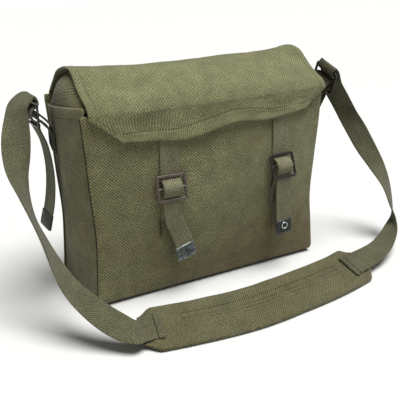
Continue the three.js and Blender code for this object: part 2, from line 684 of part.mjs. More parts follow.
// The padded sleeve, with rounded long edges and flat sewn ends
function shoulderPad() {
  const section = [
    { wide: -1, thick: 0 }, { wide: -0.95, thick: 0.6 }, { wide: -0.78, thick: 0.95 }, { wide: -0.3, thick: 1 },
    { wide: 0.3, thick: 1 }, { wide: 0.78, thick: 0.95 }, { wide: 0.95, thick: 0.6 }, { wide: 1, thick: 0 },
    { wide: 0.95, thick: -0.6 }, { wide: 0.78, thick: -0.95 }, { wide: 0.3, thick: -1 }, { wide: -0.3, thick: -1 },
    { wide: -0.78, thick: -0.95 }, { wide: -0.95, thick: -0.6 },
  ];
  const steps = 24;
  return loft(Array.from({ length: steps + 1 }, (_, i) => {
    const { p, across, face, thick, wide } = padAt(i / steps);
    return section.map((c) => (
      p.clone().addScaledVector(across, c.wide * wide / 2).addScaledVector(face, c.thick * thick / 2)));
  }));
}

// The gusset's outer side, and its own direction across a chape that leans forward on it
const onGusset = (side, y, z, off) => V(gussetX(side, y, z, -off), y, z);

function acrossGusset(side, y, z, lean) {
  const reach = wideWebbing / 2;
  const dy = reach * Math.cos(lean);
  const dz = reach * Math.sin(lean);
  return onGusset(side, y - dy, z - dz, 0).sub(onGusset(side, y + dy, z + dz, 0)).normalize();
}

function shoulder(row) {
  const { name, side } = row;
  const lean = THREE.MathUtils.degToRad(row.lean);
  const centre = V(side * row.out * halfWidth, -row.forth * bagDepth, row.up * backHeight);
  const bars = V(0, -Math.cos(lean), -Math.sin(lean));
  const frame = { centre, up: V(0, -Math.sin(lean), Math.cos(lean)), out: X.clone().multiplyScalar(side) };
  const bar = sideBuckleHeight / 2 - barWide / 2;
  const through = strapThrough(frame, sideBuckleHeight, wideThick);
  const backAt = (z) => centre.y + (centre.z - z) * Math.tan(lean);

  const tail = TAIL.map((t) => {
    const z = t.up * backHeight;
    const turn = THREE.MathUtils.degToRad(t.turn + 90);
    return { p: V(side * t.out * halfWidth, backAt(z), z), across: bars.clone().applyAxisAngle(Z, turn * -side) };
  }).reverse();
  const pass = [...through.top, ...through.over, ...through.bottom].reverse().map((p) => ({ p, across: bars }));
  const crest = [
    { p: inPlane(frame, bar + barWide / 2 + wideThick + crestRise, -seamGap), across: bars },
  ];
  const route = row.route.map((r) => {
    const turn = THREE.MathUtils.degToRad(r.turn);
    const tilt = THREE.MathUtils.degToRad(r.tilt);
    const across = V(Math.cos(turn) * Math.cos(tilt), Math.sin(turn) * Math.cos(tilt), Math.sin(tilt));
    return { p: V(side * r.out * halfWidth, -r.forth * bagDepth, r.up * backHeight), across };
  });
  const tab = [0, 0.25, 0.5, 0.75, 1].map((part) => {
    const { p, across, face, thick } = padAt(THREE.MathUtils.lerp(row.tabFrom, row.tabTo, part));
    return { p: p.addScaledVector(face, thick / 2 + 2 * seamGap + wideThick / 2), across };
  });
  add(`shoulder_strap_${name}`, webbing([...tail, ...pass, ...crest, ...route, ...tab], wideWebbing, wideThick, 3), "webbing");

  const end = tail[0];
  const down = tail[1].p.clone().sub(end.p).normalize();
  const face = V(0, 0, 0).crossVectors(end.across, down).normalize();
  const level = V(0, 0, 0).crossVectors(down, face).normalize();
  const tipAt = end.p.clone().addScaledVector(down, -wideThick / 2 - seamGap);
  placed(add(`shoulder_tip_${name}`, tip(wideWebbing + 1, wideThick), "steel"), level, down, face, tipAt);

  const layer = cloth / 2 + 2 * seamGap + wideThick / 2 + wideEase;
  const sewn = (share, off) => {
    const z = share * backHeight;
    return { p: onGusset(side, backAt(z), z, off), across: acrossGusset(side, backAt(z), z, lean) };
  };
  const { sewnEnd, sewnTop } = SHOULDER_CHAPE;
  const foot = onGusset(side, backAt(sewnTop * backHeight), sewnTop * backHeight, layer);
  const toBar = centre.clone().sub(foot);
  const approach = Math.atan2(toBar.dot(frame.out), toBar.dot(frame.up));
  const loop = chapeLoop(frame, wideThick, approach);
  const square = (p) => ({ p, across: bars });
  const middle = 0.5 * (sewnEnd + sewnTop);
  const second = layer + wideThick + seamGap;
  const chape = [
    sewn(sewnEnd, layer), sewn(middle, layer), sewn(sewnTop, layer),
    ...[loop.before, ...loop.bend, loop.after].map(square),
    sewn(sewnTop - 0.015, second + wideEase), sewn(middle, second), sewn(sewnEnd + 0.015, second),
  ];
  add(`shoulder_chape_${name}`, webbing(chape, wideWebbing, wideThick, 3), "webbing");

  const basis = side < 0 ? bars : bars.clone().negate();
  placed(add(`shoulder_buckle_${name}`, buckle(sideBuckleWidth, sideBuckleHeight), "enamel"),
    basis, frame.up, frame.out, centre);
}

add("main_panel", mainPanel(), "canvas");
for (const [name, side] of [["left", -1], ["right", 1]]) {
  add(`gusset_${name}`, gusset(side), "canvas");
  add(`weather_flap_${name}`, weatherFlap(side), "canvas");
}
add("lid", lid(), "canvas");
CLOSINGS.forEach(closing);
SHOULDERS.forEach(shoulder);
add("shoulder_pad", shoulderPad(), "canvas");

export default haversack;
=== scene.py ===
# %% [markdown]
# # A small canvas haversack
# The real bag is one long cloth panel (front, bottom and back), two side gussets, two ears that fold
# in under an arched lid, two narrow closing straps and a wide shoulder strap with a padded sleeve.
# The imported CAD model gives the places of all these pieces. This script makes the cloth look like
# cloth around that frame, so the frame is loaded first.

# %% Load the imported frame
import math

import bmesh
import bpy
from mathutils import Matrix, Vector, noise


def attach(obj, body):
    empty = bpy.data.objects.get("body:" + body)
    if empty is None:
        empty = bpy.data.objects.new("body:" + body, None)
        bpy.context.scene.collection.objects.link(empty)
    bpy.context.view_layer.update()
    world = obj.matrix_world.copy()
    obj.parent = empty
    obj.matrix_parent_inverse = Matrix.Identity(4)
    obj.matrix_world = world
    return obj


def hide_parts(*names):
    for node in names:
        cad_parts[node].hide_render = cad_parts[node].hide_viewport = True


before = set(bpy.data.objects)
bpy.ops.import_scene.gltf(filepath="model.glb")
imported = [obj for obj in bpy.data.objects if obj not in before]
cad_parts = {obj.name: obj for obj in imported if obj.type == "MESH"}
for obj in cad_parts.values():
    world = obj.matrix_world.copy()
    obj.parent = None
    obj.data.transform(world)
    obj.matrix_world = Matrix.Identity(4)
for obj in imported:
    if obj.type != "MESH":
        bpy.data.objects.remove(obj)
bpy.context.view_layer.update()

# %% [markdown]
# The camera stands where the photographer stood: about 21 degrees above the floor and 31 degrees
# round to the bag's left. Those numbers come from the vanishing points of the bag's long edges.

# %% Camera
MM = 0.001
LOOK_DOWN, LOOK_ROUND = 20.93, 30.7
CAMERA_PLACE = Vector((-441.1, -765.4, 430.6)) * MM
LENS, SENSOR = 61.65, 36

camera = bpy.data.objects.new("camera", bpy.data.cameras.new("camera"))
camera.data.lens = LENS
camera.data.sensor_width = SENSOR
camera.data.clip_end = 50
camera.location = CAMERA_PLACE
camera.rotation_euler = (math.radians(90 - LOOK_DOWN), 0, math.radians(-LOOK_ROUND))
bpy.context.collection.objects.link(camera)
bpy.context.scene.camera = camera

# %% [markdown]
# The light is even, as in a studio: one wide soft lamp above and a little in front, a weak panel on
# the right, and a white backdrop all round. The camera sees the backdrop bright, but the bag gets only
# a little of its light, so that folds and edges keep their shade.

# %% Lights and backdrop
SUN_PLACE, SUN_STRENGTH, SUN_TINT, SUN_SPREAD = (0.2, -0.46, 1.9), 5.15, (1, 1, 0.99), 38
PANEL_PLACE, PANEL_AIM, PANEL_WATTS, PANEL_SIZE = (1.8, -1.0, 0.8), (0.1, 0, 0.12), 0.7, 1.2
AMBIENT, BACKDROP, SKY_TINT = 0.19, 1.02, (1, 1, 0.985, 1)


def lamp_at(name, kind, place, aim, watts, colour, **settings):
    """A studio lamp that points at a place, all in metres."""
    lamp = bpy.data.objects.new(name, bpy.data.lights.new(name, kind))
    lamp.data.energy = watts
    lamp.data.color = colour
    for key, value in settings.items():
        setattr(lamp.data, key, value)
    lamp.location = place
    lamp.rotation_euler = (Vector(aim) - Vector(place)).to_track_quat("-Z", "Y").to_euler()
    bpy.context.collection.objects.link(lamp)


lamp_at("overhead", "SUN", SUN_PLACE, (0, 0, 0), SUN_STRENGTH, SUN_TINT, angle=math.radians(SUN_SPREAD))
lamp_at("right_panel", "AREA", PANEL_PLACE, PANEL_AIM, PANEL_WATTS, (1, 1, 1), size=PANEL_SIZE)

world = bpy.data.worlds.new("studio")
bpy.context.scene.world = world
world.use_nodes = True
sky = world.node_tree
ambient, backdrop = sky.nodes["Background"], sky.nodes.new("ShaderNodeBackground")
for background, strength in ((ambient, AMBIENT), (backdrop, BACKDROP)):
    background.inputs["Color"].default_value = SKY_TINT
    background.inputs["Strength"].default_value = strength
seen_or_lit = sky.nodes.new("ShaderNodeMixShader")
sky.links.new(sky.nodes.new("ShaderNodeLightPath").outputs["Is Camera Ray"], seen_or_lit.inputs[0])
sky.links.new(ambient.outputs[0], seen_or_lit.inputs[1])
sky.links.new(backdrop.outputs[0], seen_or_lit.inputs[2])
sky.links.new(seen_or_lit.outputs[0], sky.nodes["World Output"].inputs["Surface"])
bpy.context.scene.view_settings.view_transform = "Standard"

# %% [markdown]
# Cloth needs many small smooth changes of shape along an edge or a height. Each one is written as a
# short table, as in a pattern book, and this curve runs smoothly through its values.

# %% A smooth curve through a table
def smooth(table, key, name, at):
    """The value of one column of a table at a place along its key column."""
    keys, values = table[key], table[name]
    last = len(keys) - 1
    i = 0
    while i < last - 1 and at > keys[i + 1]:
        i += 1
    span = keys[i + 1] - keys[i]
    t = min(max((at - keys[i]) / span, 0), 1)

    def slope(k):
        a, b = max(k - 1, 0), min(k + 1, last)
        return (values[b] - values[a]) / (keys[b] - keys[a]) * span

    t2, t3 = t * t, t * t * t
    return ((2 * t3 - 3 * t2 + 1) * values[i] + (t3 - 2 * t2 + t) * slope(i)
            + (3 * t2 - 2 * t3) * values[i + 1] + (t3 - t2) * slope(i + 1))


def lerp(a, b, t):
    return a + (b - a) * t


def ease(value, low, high):
    """0 below low, 1 above high, and a smooth step between."""
    t = min(max((value - low) / (high - low), 0), 1)
    return t * t * (3 - 2 * t)


def bump_at(value, centre, width):
    """A soft bell of height 1 about a centre."""
    return math.exp(-((value - centre) / width) ** 2)


# %% [markdown]
# These are the bag's own sizes in millimetres, the same as in the CAD source, so that the cloth lies
# exactly where the solid cloth of the frame lies.

# %% The bag's sizes
BAG_WIDTH, BAG_DEPTH = 336, 122
FRONT_HEIGHT, BACK_HEIGHT = 244, 248
BOTTOM_RADIUS = 14
CLOTH = 2
GAP = 0.3
FRONT_BULGE, BACK_BULGE, GUSSET_BULGE = 15, 8, 13
HEM_FRONT = {-1: 253, 1: 243}
HEM_BACK = 236
HALF_WIDTH, HALF_DEPTH = BAG_WIDTH / 2, BAG_DEPTH / 2

SEAMS = {
    "up": [0, 0.2, 0.38, 0.6, 0.8, 1],
    -1: [1, 0.985, 0.98, 1.005, 1.025, 1.05],
    1: [0.995, 0.965, 0.94, 0.96, 0.985, 1],
}
FULLNESS = {
    "up": [0, 0.08, 0.25, 0.5, 0.75, 1],
    "front": [0, 0.12, 0.6, 1, 0.95, 0.7],
    "back": [0, 0.15, 0.6, 1, 0.9, 0.5],
    "gusset": [0, 0.2, 0.75, 1, 0.85, 0.35],
}
# Soft dents of the front wall: across, up, wide, tall and deep
DENTS = [
    (-0.62, 0.3, 0.2, 0.3, -1.6), (-0.2, 0.5, 0.24, 0.35, 1.6), (0.28, 0.28, 0.22, 0.3, -1.8),
    (0.7, 0.62, 0.16, 0.35, 1.8), (0.05, 0.12, 0.3, 0.1, 1.4),
]


def seam_x(side, z):
    return side * HALF_WIDTH * smooth(SEAMS, "up", side, z / FRONT_HEIGHT)


def wall_bulge(wall, share, z, height, most):
    return most * max(1 - abs(share) ** 2.4, 0) * smooth(FULLNESS, "up", wall, z / height)


def dents(share, z):
    edge = max(1 - share ** 6, 0) * min(z / (3 * BOTTOM_RADIUS), 1)
    place = lambda d: ((share - d[0]) / d[2]) ** 2 + ((z / FRONT_HEIGHT - d[1]) / d[3]) ** 2
    return edge * sum(d[4] * math.exp(-2 * place(d)) for d in DENTS)


def width_share(x, z):
    return min(max(x / abs(seam_x(-1 if x < 0 else 1, z)), -1), 1)


def front_y(x, z):
    share = width_share(x, z)
    bulge = wall_bulge("front", share, z, FRONT_HEIGHT, FRONT_BULGE)
    return -(HALF_DEPTH - CLOTH / 2) - bulge - dents(share, z)


def back_y(x, z):
    share = width_share(x, z)
    return HALF_DEPTH - CLOTH / 2 + wall_bulge("back", share, z, BACK_HEIGHT, BACK_BULGE)


def on_front(x, z, off):
    return Vector((x, front_y(x, z) - off, z))


def across_front(x, z, reach=12.5):
    """The direction along the front wall at a place, over the width of a closing strap."""
    return (on_front(x + reach, z, 0) - on_front(x - reach, z, 0)).normalized()


# %% [markdown]
# Every piece of cloth is a grid of points on its middle surface. This helper gives it its thickness
# on both sides and closes its rim with a rounded edge, as a folded hem or a selvedge has. It also
# writes a UV map in metres along the cloth, so that the weave follows the piece round each bend.

# %% Cloth from a grid of points
RIM_ANGLES = [45, 0, -45]


def object_of(name, mesh, material):
    mesh.materials.append(material)
    piece = bpy.data.objects.new(name, mesh)
    bpy.context.collection.objects.link(piece)
    return piece


def running_length(points):
    total, lengths = 0, [0]
    for a, b in zip(points, points[1:]):
        total += (b - a).length
        lengths.append(total)
    return lengths


def grid_normals(grid):
    rows, cols = len(grid), len(grid[0])
    normals = []
    for i in range(rows):
        up, down = grid[max(i - 1, 0)], grid[min(i + 1, rows - 1)]
        normals.append([
            (down[j] - up[j]).cross(grid[i][min(j + 1, cols - 1)] - grid[i][max(j - 1, 0)]).normalized()
            for j in range(cols)])
    return normals


def cloth_piece(name, grid, half, material):
    """A thick sheet with a rounded rim. half(i, j) is half its thickness in mm at a grid point."""
    rows, cols = len(grid), len(grid[0])
    normals = grid_normals(grid)
    u = running_length(grid[rows // 2])
    v = running_length([row[cols // 2] for row in grid])
    verts, uvs, faces = [], [], []
    for face in (1, -1):
        for i in range(rows):
            for j in range(cols):
                verts.append(grid[i][j] + normals[i][j] * (half(i, j) * face))
                uvs.append((u[j], v[i]))
    top = lambda i, j: i * cols + j
    low = lambda i, j: rows * cols + i * cols + j
    for i in range(rows - 1):
        for j in range(cols - 1):
            faces.append((top(i, j), top(i + 1, j), top(i + 1, j + 1), top(i, j + 1)))
            faces.append((low(i, j), low(i, j + 1), low(i + 1, j + 1), low(i + 1, j)))
    border = ([(0, j) for j in range(cols - 1)] + [(i, cols - 1) for i in range(rows - 1)]
              + [(rows - 1, j) for j in range(cols - 1, 0, -1)] + [(i, 0) for i in range(rows - 1, 0, -1)])
    rings = []
    for i, j in border:
        out = Vector()
        if j in (0, cols - 1):
            out += (grid[i][j] - grid[i][1 if j == 0 else cols - 2]).normalized()
        if i in (0, rows - 1):
            out += (grid[i][j] - grid[1 if i == 0 else rows - 2][j]).normalized()
        out.normalize()
        ring = [top(i, j)]
        for degrees in RIM_ANGLES:
            a = math.radians(degrees)
            ring.append(len(verts))
            verts.append(grid[i][j] + (out * math.cos(a) + normals[i][j] * math.sin(a)) * half(i, j))
            uvs.append((u[j], v[i]))
        rings.append(ring + [low(i, j)])
    for a, b in zip(rings, rings[1:] + rings[:1]):
        for k in range(len(a) - 1):
            faces.append((a[k], b[k], b[k + 1], a[k + 1]))
    mesh = bpy.data.meshes.new(name)
    mesh.from_pydata([p * MM for p in verts], [], faces)
    face_outwards(mesh)
    layer = mesh.uv_layers.new(name="cloth")
    for loop in mesh.loops:
        across, along = uvs[loop.vertex_index]
        layer.data[loop.index].uv = (across * MM, along * MM)
    mesh.shade_smooth()
    return object_of(name, mesh, material)


def face_outwards(mesh):
    work = bmesh.new()
    work.from_mesh(mesh)
    bmesh.ops.recalc_face_normals(work, faces=work.faces)
    work.to_mesh(mesh)
    work.free()


def unevenness(point, size, height, seed=0):
    """A gentle natural rise and fall of the cloth, in mm."""
    return height * noise.noise(Vector((point.x / size + seed, point.y / size, point.z / size)))

# %% [markdown]
# The bag is woven from thick cotton yarn, so its cloth shows staggered bright dots where the yarns
# come over and dark gaps between them. Two crossed waves give that pattern. Canvas, webbing and the
# pad share one node group for it, each with its own yarn pitch.

# %% Node helpers
def fill_sockets(tree, node, values):
    for key, value in values.items():
        if isinstance(value, bpy.types.NodeSocket):
            tree.links.new(value, node.inputs[key])
        else:
            node.inputs[key].default_value = value


def make(tree, kind, values=None, **settings):
    node = tree.nodes.new(kind)
    for key, value in settings.items():
        setattr(node, key, value)
    fill_sockets(tree, node, values or {})
    return node


def sum_of(tree, operation, a, b=0.0, clamp=False):
    return make(tree, "ShaderNodeMath", {0: a, 1: b}, operation=operation, use_clamp=clamp).outputs[0]


def mixed(tree, factor, a, b, blend="MIX"):
    node = make(tree, "ShaderNodeMix", data_type="RGBA", blend_type=blend)
    fill_sockets(tree, node, {0: factor, 6: a, 7: b})
    return node.outputs[2]


def ranged(tree, value, low, high, to_low, to_high):
    """The value's place between low and high, mapped to the range from to_low to to_high."""
    return make(tree, "ShaderNodeMapRange", {0: value, 1: low, 2: high, 3: to_low, 4: to_high}).outputs[0]


def grey_of(tree, value):
    return make(tree, "ShaderNodeCombineColor", {0: value, 1: value, 2: value}).outputs[0]


def new_group(name, inputs, outputs):
    tree = bpy.data.node_groups.new(name, "ShaderNodeTree")
    for socket, kind, value in inputs:
        made = tree.interface.new_socket(name=socket, in_out="INPUT", socket_type=kind)
        if value is not None:
            made.default_value = value
    for socket, kind in outputs:
        tree.interface.new_socket(name=socket, in_out="OUTPUT", socket_type=kind)
    return tree, tree.nodes.new("NodeGroupInput"), tree.nodes.new("NodeGroupOutput")


FLOAT, COLOUR, VECTOR = "NodeSocketFloat", "NodeSocketColor", "NodeSocketVector"

# %% The weave as a node group
weave, weave_in, weave_out = new_group(
    "woven cotton",
    [("Cloth", VECTOR, None), ("Pitch Across", FLOAT, 0.0028), ("Pitch Along", FLOAT, 0.0028),
     ("Wander", FLOAT, 0.5)],
    [("Height", FLOAT), ("Yarn", FLOAT)])
split = make(weave, "ShaderNodeSeparateXYZ", {0: weave_in.outputs["Cloth"]})
drift = make(weave, "ShaderNodeTexNoise", {"Vector": weave_in.outputs["Cloth"], "Scale": 90.0, "Detail": 2.0})
drift_side = sum_of(weave, "MULTIPLY", sum_of(weave, "SUBTRACT", drift.outputs[0], 0.5),
                    sum_of(weave, "MULTIPLY", weave_in.outputs["Wander"], 6.0))
waves = []
for place, pitch in ((split.outputs[0], "Pitch Across"), (split.outputs[1], "Pitch Along")):
    turns = sum_of(weave, "DIVIDE", place, weave_in.outputs[pitch])
    angle = sum_of(weave, "ADD", sum_of(weave, "MULTIPLY", turns, 2 * math.pi), drift_side)
    waves.append(sum_of(weave, "SINE", angle))
crossed = sum_of(weave, "MULTIPLY", waves[0], waves[1])
lumps = make(weave, "ShaderNodeTexNoise", {"Vector": weave_in.outputs["Cloth"], "Scale": 420.0,
                                            "Detail": 3.0})
rough_lumps = sum_of(weave, "MULTIPLY", sum_of(weave, "SUBTRACT", lumps.outputs[0], 0.5), 1.3)
dots = sum_of(weave, "ADD", sum_of(weave, "MULTIPLY", crossed, 0.5), 0.5)
yarn = sum_of(weave, "ADD", dots, rough_lumps, True)
weave.links.new(yarn, weave_out.inputs["Height"])
weave.links.new(sum_of(weave, "POWER", yarn, 1.3), weave_out.inputs["Yarn"])

# %% [markdown]
# Old cotton fades unevenly: some areas go brown where they were handled, others stay green, and the
# cloth turns browner and darker towards the bottom. This group gives that slow change of colour from
# the place on the object, so it runs on from one sewn piece to the next.

# %% Fading and handling as a node group
fade, fade_in, fade_out = new_group(
    "faded patches", [("Colour", COLOUR, (0.2, 0.2, 0.1, 1)), ("Brown", COLOUR, (0.15, 0.12, 0.07, 1)),
                      ("Amount", FLOAT, 0.5)], [("Colour", COLOUR), ("Patch", FLOAT)])
where = make(fade, "ShaderNodeTexCoord").outputs["Object"]
slow = make(fade, "ShaderNodeTexNoise", {"Vector": where, "Scale": 9.0, "Detail": 3.0, "Roughness": 0.6})
quick = make(fade, "ShaderNodeTexNoise", {"Vector": where, "Scale": 48.0, "Detail": 4.0, "Roughness": 0.65})
spread = ranged(fade, slow.outputs[0], 0.36, 0.66, 0.0, 1.0)
height_up = make(fade, "ShaderNodeSeparateXYZ", {0: where}).outputs[2]
# Browner and darker towards the bottom, below 13 cm.
low_down = ranged(fade, height_up, 0.13, 0.0, 0.0, 0.7)
brown_share = sum_of(fade, "MULTIPLY", sum_of(fade, "ADD", spread, low_down), fade_in.outputs["Amount"], True)
browned = mixed(fade, brown_share, fade_in.outputs["Colour"], fade_in.outputs["Brown"])
speckle = grey_of(fade, ranged(fade, quick.outputs[0], 0.3, 0.7, 0.76, 1.2))
fade.links.new(mixed(fade, 1.0, browned, speckle, "MULTIPLY"), fade_out.inputs["Colour"])
fade.links.new(brown_share, fade_out.inputs["Patch"])


# %% Cloth materials
def srgb(code):
    """A colour from its six-digit web code, as the linear values that Blender works with."""
    parts = [int(code[k:k + 2], 16) / 255 for k in (0, 2, 4)]
    return tuple(p / 12.92 if p < 0.04045 else ((p + 0.055) / 1.055) ** 2.4 for p in parts) + (1,)


def principled(name):
    material = bpy.data.materials.new(name)
    material.use_nodes = True
    tree = material.node_tree
    return material, tree, tree.nodes["Principled BSDF"]


def cotton(name, light, dark, brown, across, along, depth, brownness, wander=0.5):
    """Woven cotton: its lit yarn, its gaps, its worn tint, the yarn pitches in mm and the relief in mm."""
    material, tree, shader = principled(name)
    cloth = make(tree, "ShaderNodeUVMap", uv_map="cloth").outputs[0]
    woven = make(tree, "ShaderNodeGroup", node_tree=weave)
    fill_sockets(tree, woven, {"Cloth": cloth, "Pitch Across": across * MM, "Pitch Along": along * MM,
                               "Wander": wander})
    worn = make(tree, "ShaderNodeGroup", node_tree=fade)
    fill_sockets(tree, worn, {"Colour": srgb(light), "Brown": srgb(brown), "Amount": brownness})
    gaps = mixed(tree, 0.12, srgb(dark), worn.outputs["Colour"])
    colour = mixed(tree, woven.outputs["Yarn"], gaps, worn.outputs["Colour"])
    tree.links.new(colour, shader.inputs["Base Color"])
    shader.inputs["Roughness"].default_value = 0.92
    shader.inputs["Specular IOR Level"].default_value = 0.2
    shader.inputs["Sheen Weight"].default_value = 0.12
    shader.inputs["Sheen Roughness"].default_value = 0.5
    relief = make(tree, "ShaderNodeBump", {"Height": woven.outputs["Height"], "Strength": 0.8,
                                           "Distance": depth * MM})
    tree.links.new(relief.outputs[0], shader.inputs["Normal"])
    return material


canvas = cotton("canvas", "8e8e67", "333426", "7c6f4a", 3.9, 3.9, 0.85, 0.6)
# A darker copy of the canvas for the lid, with paler gaps and less brown: its darkness is painted shade
# against the overhead light on the lid.
shaded_lid_canvas = cotton("shaded_lid_canvas", "868761", "3d3f2b", "7b7350", 3.8, 3.8, 0.65, 0.25)
pad_canvas = cotton("pad_canvas", "706f50", "29291d", "67603f", 3.3, 3.3, 0.8, 0.4)
narrow_web = cotton("narrow_webbing", "8a886c", "353324", "7e765a", 3.0, 4.0, 0.7, 0.3, 0.2)
wide_web = cotton("wide_webbing", "6d6c51", "26261b", "605b43", 3.2, 3.2, 0.8, 0.4, 0.3)
# A darker copy of the wide webbing for the two side tabs: painted shade, where they sit in the shade of the
# gussets' back edges.
shaded_web = cotton("shaded_webbing", "5b5844", "201f16", "4f4936", 3.2, 3.2, 0.8, 0.4, 0.3)
thread = cotton("sewing_thread", "474629", "242312", "3e3b22", 0.5, 0.9, 0.1, 0.3)
# Dark thread. It also draws lines of painted shade in the gussets' seams and just past the strap ends.
dark_thread_and_shade = cotton("dark_thread_and_shade", "2a2919", "14130b", "242112", 0.5, 0.9, 0.1, 0.3)

# %% [markdown]
# The buckles are stamped steel under enamel: dark brown on the left front one and black on the other
# three, and chipped at the edges. The strap tips are thin plates. The left front one is plated and
# blue-grey, the right one has tarnished round its bright eyelet, and those at the sides are black.

# %% Metal materials
wear, wear_in, wear_out = new_group(
    "edge wear", [("Reach", FLOAT, 0.5), ("Grain", FLOAT, 400.0)], [("Worn", FLOAT)])
spot = make(wear, "ShaderNodeTexCoord").outputs["Object"]
pointed = make(wear, "ShaderNodeNewGeometry").outputs["Pointiness"]
chips = make(wear, "ShaderNodeTexNoise", {"Vector": spot, "Scale": wear_in.outputs["Grain"], "Detail": 3.0})
edge = ranged(wear, pointed, 0.5, 0.62, 0.0, 1.0)
broken = ranged(wear, chips.outputs[0], 0.42, 0.6, 0.15, 1.0)
rubbed = sum_of(wear, "MULTIPLY", sum_of(wear, "MULTIPLY", edge, broken), wear_in.outputs["Reach"], True)
wear.links.new(rubbed, wear_out.inputs["Worn"])


def metal(name, base, bright, roughness, metallic, reach, grain, bump_mm):
    """Metal or enamel: its colour, the bright colour of its worn edges, and how far and coarse they wear."""
    material, tree, shader = principled(name)
    worn = make(tree, "ShaderNodeGroup", node_tree=wear)
    fill_sockets(tree, worn, {"Reach": reach, "Grain": grain})
    place = make(tree, "ShaderNodeTexCoord").outputs["Object"]
    cloud = make(tree, "ShaderNodeTexNoise", {"Vector": place, "Scale": 150.0, "Detail": 4.0})
    shade = grey_of(tree, ranged(tree, cloud.outputs[0], 0.3, 0.7, 0.8, 1.18))
    tinted = mixed(tree, 1.0, srgb(base), shade, "MULTIPLY")
    tree.links.new(mixed(tree, worn.outputs["Worn"], tinted, srgb(bright)), shader.inputs["Base Color"])
    rough = ranged(tree, cloud.outputs[0], 0.3, 0.7, roughness * 0.8, roughness * 1.2)
    tree.links.new(rough, shader.inputs["Roughness"])
    shader.inputs["Metallic"].default_value = metallic
    relief = make(tree, "ShaderNodeBump", {"Height": cloud.outputs[0], "Strength": 0.4,
                                           "Distance": bump_mm * MM})
    tree.links.new(relief.outputs[0], shader.inputs["Normal"])
    return material


enamel = metal("brown_enamel", "4b4139", "857a70", 0.42, 0.3, 0.8, 500.0, 0.15)
black_enamel = metal("black_enamel", "1f1c1b", "5d5550", 0.4, 0.3, 0.8, 500.0, 0.15)
tip_metal = metal("plated_tip", "3b4341", "c4ccc8", 0.5, 0.7, 1.0, 300.0, 0.2)
dark_tip_metal = metal("tarnished_tip", "262826", "7c8480", 0.5, 0.6, 0.6, 300.0, 0.2)
bright_metal = metal("bright_eyelet", "a3aba7", "dde2df", 0.3, 0.85, 1.0, 300.0, 0.1)
black_tip = metal("blackened_tip", "1b1815", "4c463f", 0.6, 0.1, 0.5, 300.0, 0.2)
dark_hole = metal("hole_shadow", "15130f", "15130f", 0.8, 0.0, 0.0, 300.0, 0.05)

# %% [markdown]
# The long panel is one sheet: down the front, round the bottom and up the back. The filled bag
# pushes it out in the middle, and a few soft dents and rises keep it from looking like a box.

# %% The long panel
FLAT = HALF_DEPTH - BOTTOM_RADIUS
FRONT_ROWS, BACK_ROWS, CORNER_STEPS = 58, 44, 10
SHEET_UNEVEN, SHEET_WAVE = 0.7, 45


def panel_rows():
    """Heights and y laws of the panel's rows, from the front's top edge to the back's."""
    middle = BOTTOM_RADIUS - CLOTH / 2
    rows = [(lerp(FRONT_HEIGHT, BOTTOM_RADIUS, k / FRONT_ROWS), front_y) for k in range(FRONT_ROWS)]
    for side, order in ((-1, range(CORNER_STEPS)), (1, range(CORNER_STEPS, 0, -1))):
        corner = []
        for k in order:
            a = math.radians(90 / CORNER_STEPS * k)
            y = side * (FLAT + middle * math.cos(a))
            corner.append((BOTTOM_RADIUS - middle * math.sin(a), lambda x, z, y=y: y))
        if side > 0:
            rows += [(CLOTH / 2, lambda x, z, y=y: y) for y in (-FLAT, -FLAT / 2, 0, FLAT / 2)]
        rows += corner
    return rows + [(lerp(BOTTOM_RADIUS, BACK_HEIGHT, k / BACK_ROWS), back_y) for k in range(BACK_ROWS + 1)]


def crease(x, z, line):
    """A soft crease along a line on a wall: x, z of its middle, its slant, length, width and depth."""
    cx, cz, slant, length, width, deep = line
    a = math.radians(slant)
    along = (x - cx) * math.cos(a) + (z - cz) * math.sin(a)
    aside = (z - cz) * math.cos(a) - (x - cx) * math.sin(a)
    return deep * math.exp(-(along / length) ** 2 - (aside / width) ** 2)


# Creases of the front wall: x, z, slant, length, width and depth, in mm and degrees
FRONT_CREASES = [
    (-120, 190, -60, 38, 9, 1.1), (-128, 60, 70, 45, 10, 1.2), (20, 170, -15, 60, 11, 0.9),
    (-20, 60, 12, 70, 12, 1.0), (60, 95, -38, 40, 9, -0.9), (140, 60, 82, 45, 9, 1.3),
    (138, 165, -75, 40, 8, 1.0), (-60, 120, 35, 30, 8, -0.8), (-90, 28, 5, 60, 8, 1.3),
    (90, 25, -6, 55, 8, 1.2),
]


def panel_grid(cols=84):
    grid = []
    for z, law in panel_rows():
        row = []
        for j in range(cols + 1):
            share = j / cols * 2 - 1
            x = abs(share) * seam_x(-1 if share < 0 else 1, z)
            point = Vector((x, law(x, z), z))
            if law in (front_y, back_y):
                calm = min((1 - abs(share)) * 8, 1) * min((z - BOTTOM_RADIUS) / 30, 1)
                lift = unevenness(point, SHEET_WAVE, SHEET_UNEVEN) * calm
                if law is front_y:
                    lift += calm * sum(crease(x, z, line) for line in FRONT_CREASES)
                point.y += -lift if law is front_y else lift
            row.append(point)
        grid.append(row)
    return grid


bag_panel = cloth_piece("bag_panel", panel_grid(), lambda i, j: CLOTH / 2, canvas)
print("bag_panel", len(bag_panel.data.polygons), "faces")

# %% [markdown]
# A gusset closes each end. It stands inside the long panel's edges, bulges with the load and ends
# in a turned top hem, two layers thick, with one line of stitches.

# %% The gussets
GUSSET_HALF = HALF_DEPTH - CLOTH - GAP
HEM_TALL, HEM_SEWN = 15, 12
SEAM_INSET, FOLD_DEEP = 2.2, 1.3


def gusset_top(side, y):
    return lerp(HEM_FRONT[side], HEM_BACK, (y + GUSSET_HALF) / (2 * GUSSET_HALF))


def gusset_x(side, y, z, inset):
    full = ((1 + math.cos(math.pi * min(abs(y) / GUSSET_HALF, 1))) / 2) ** 0.75
    bulge = GUSSET_BULGE * full * smooth(FULLNESS, "up", "gusset", z / HEM_FRONT[-1])
    return seam_x(side, z) + side * (bulge - CLOTH / 2 - inset)


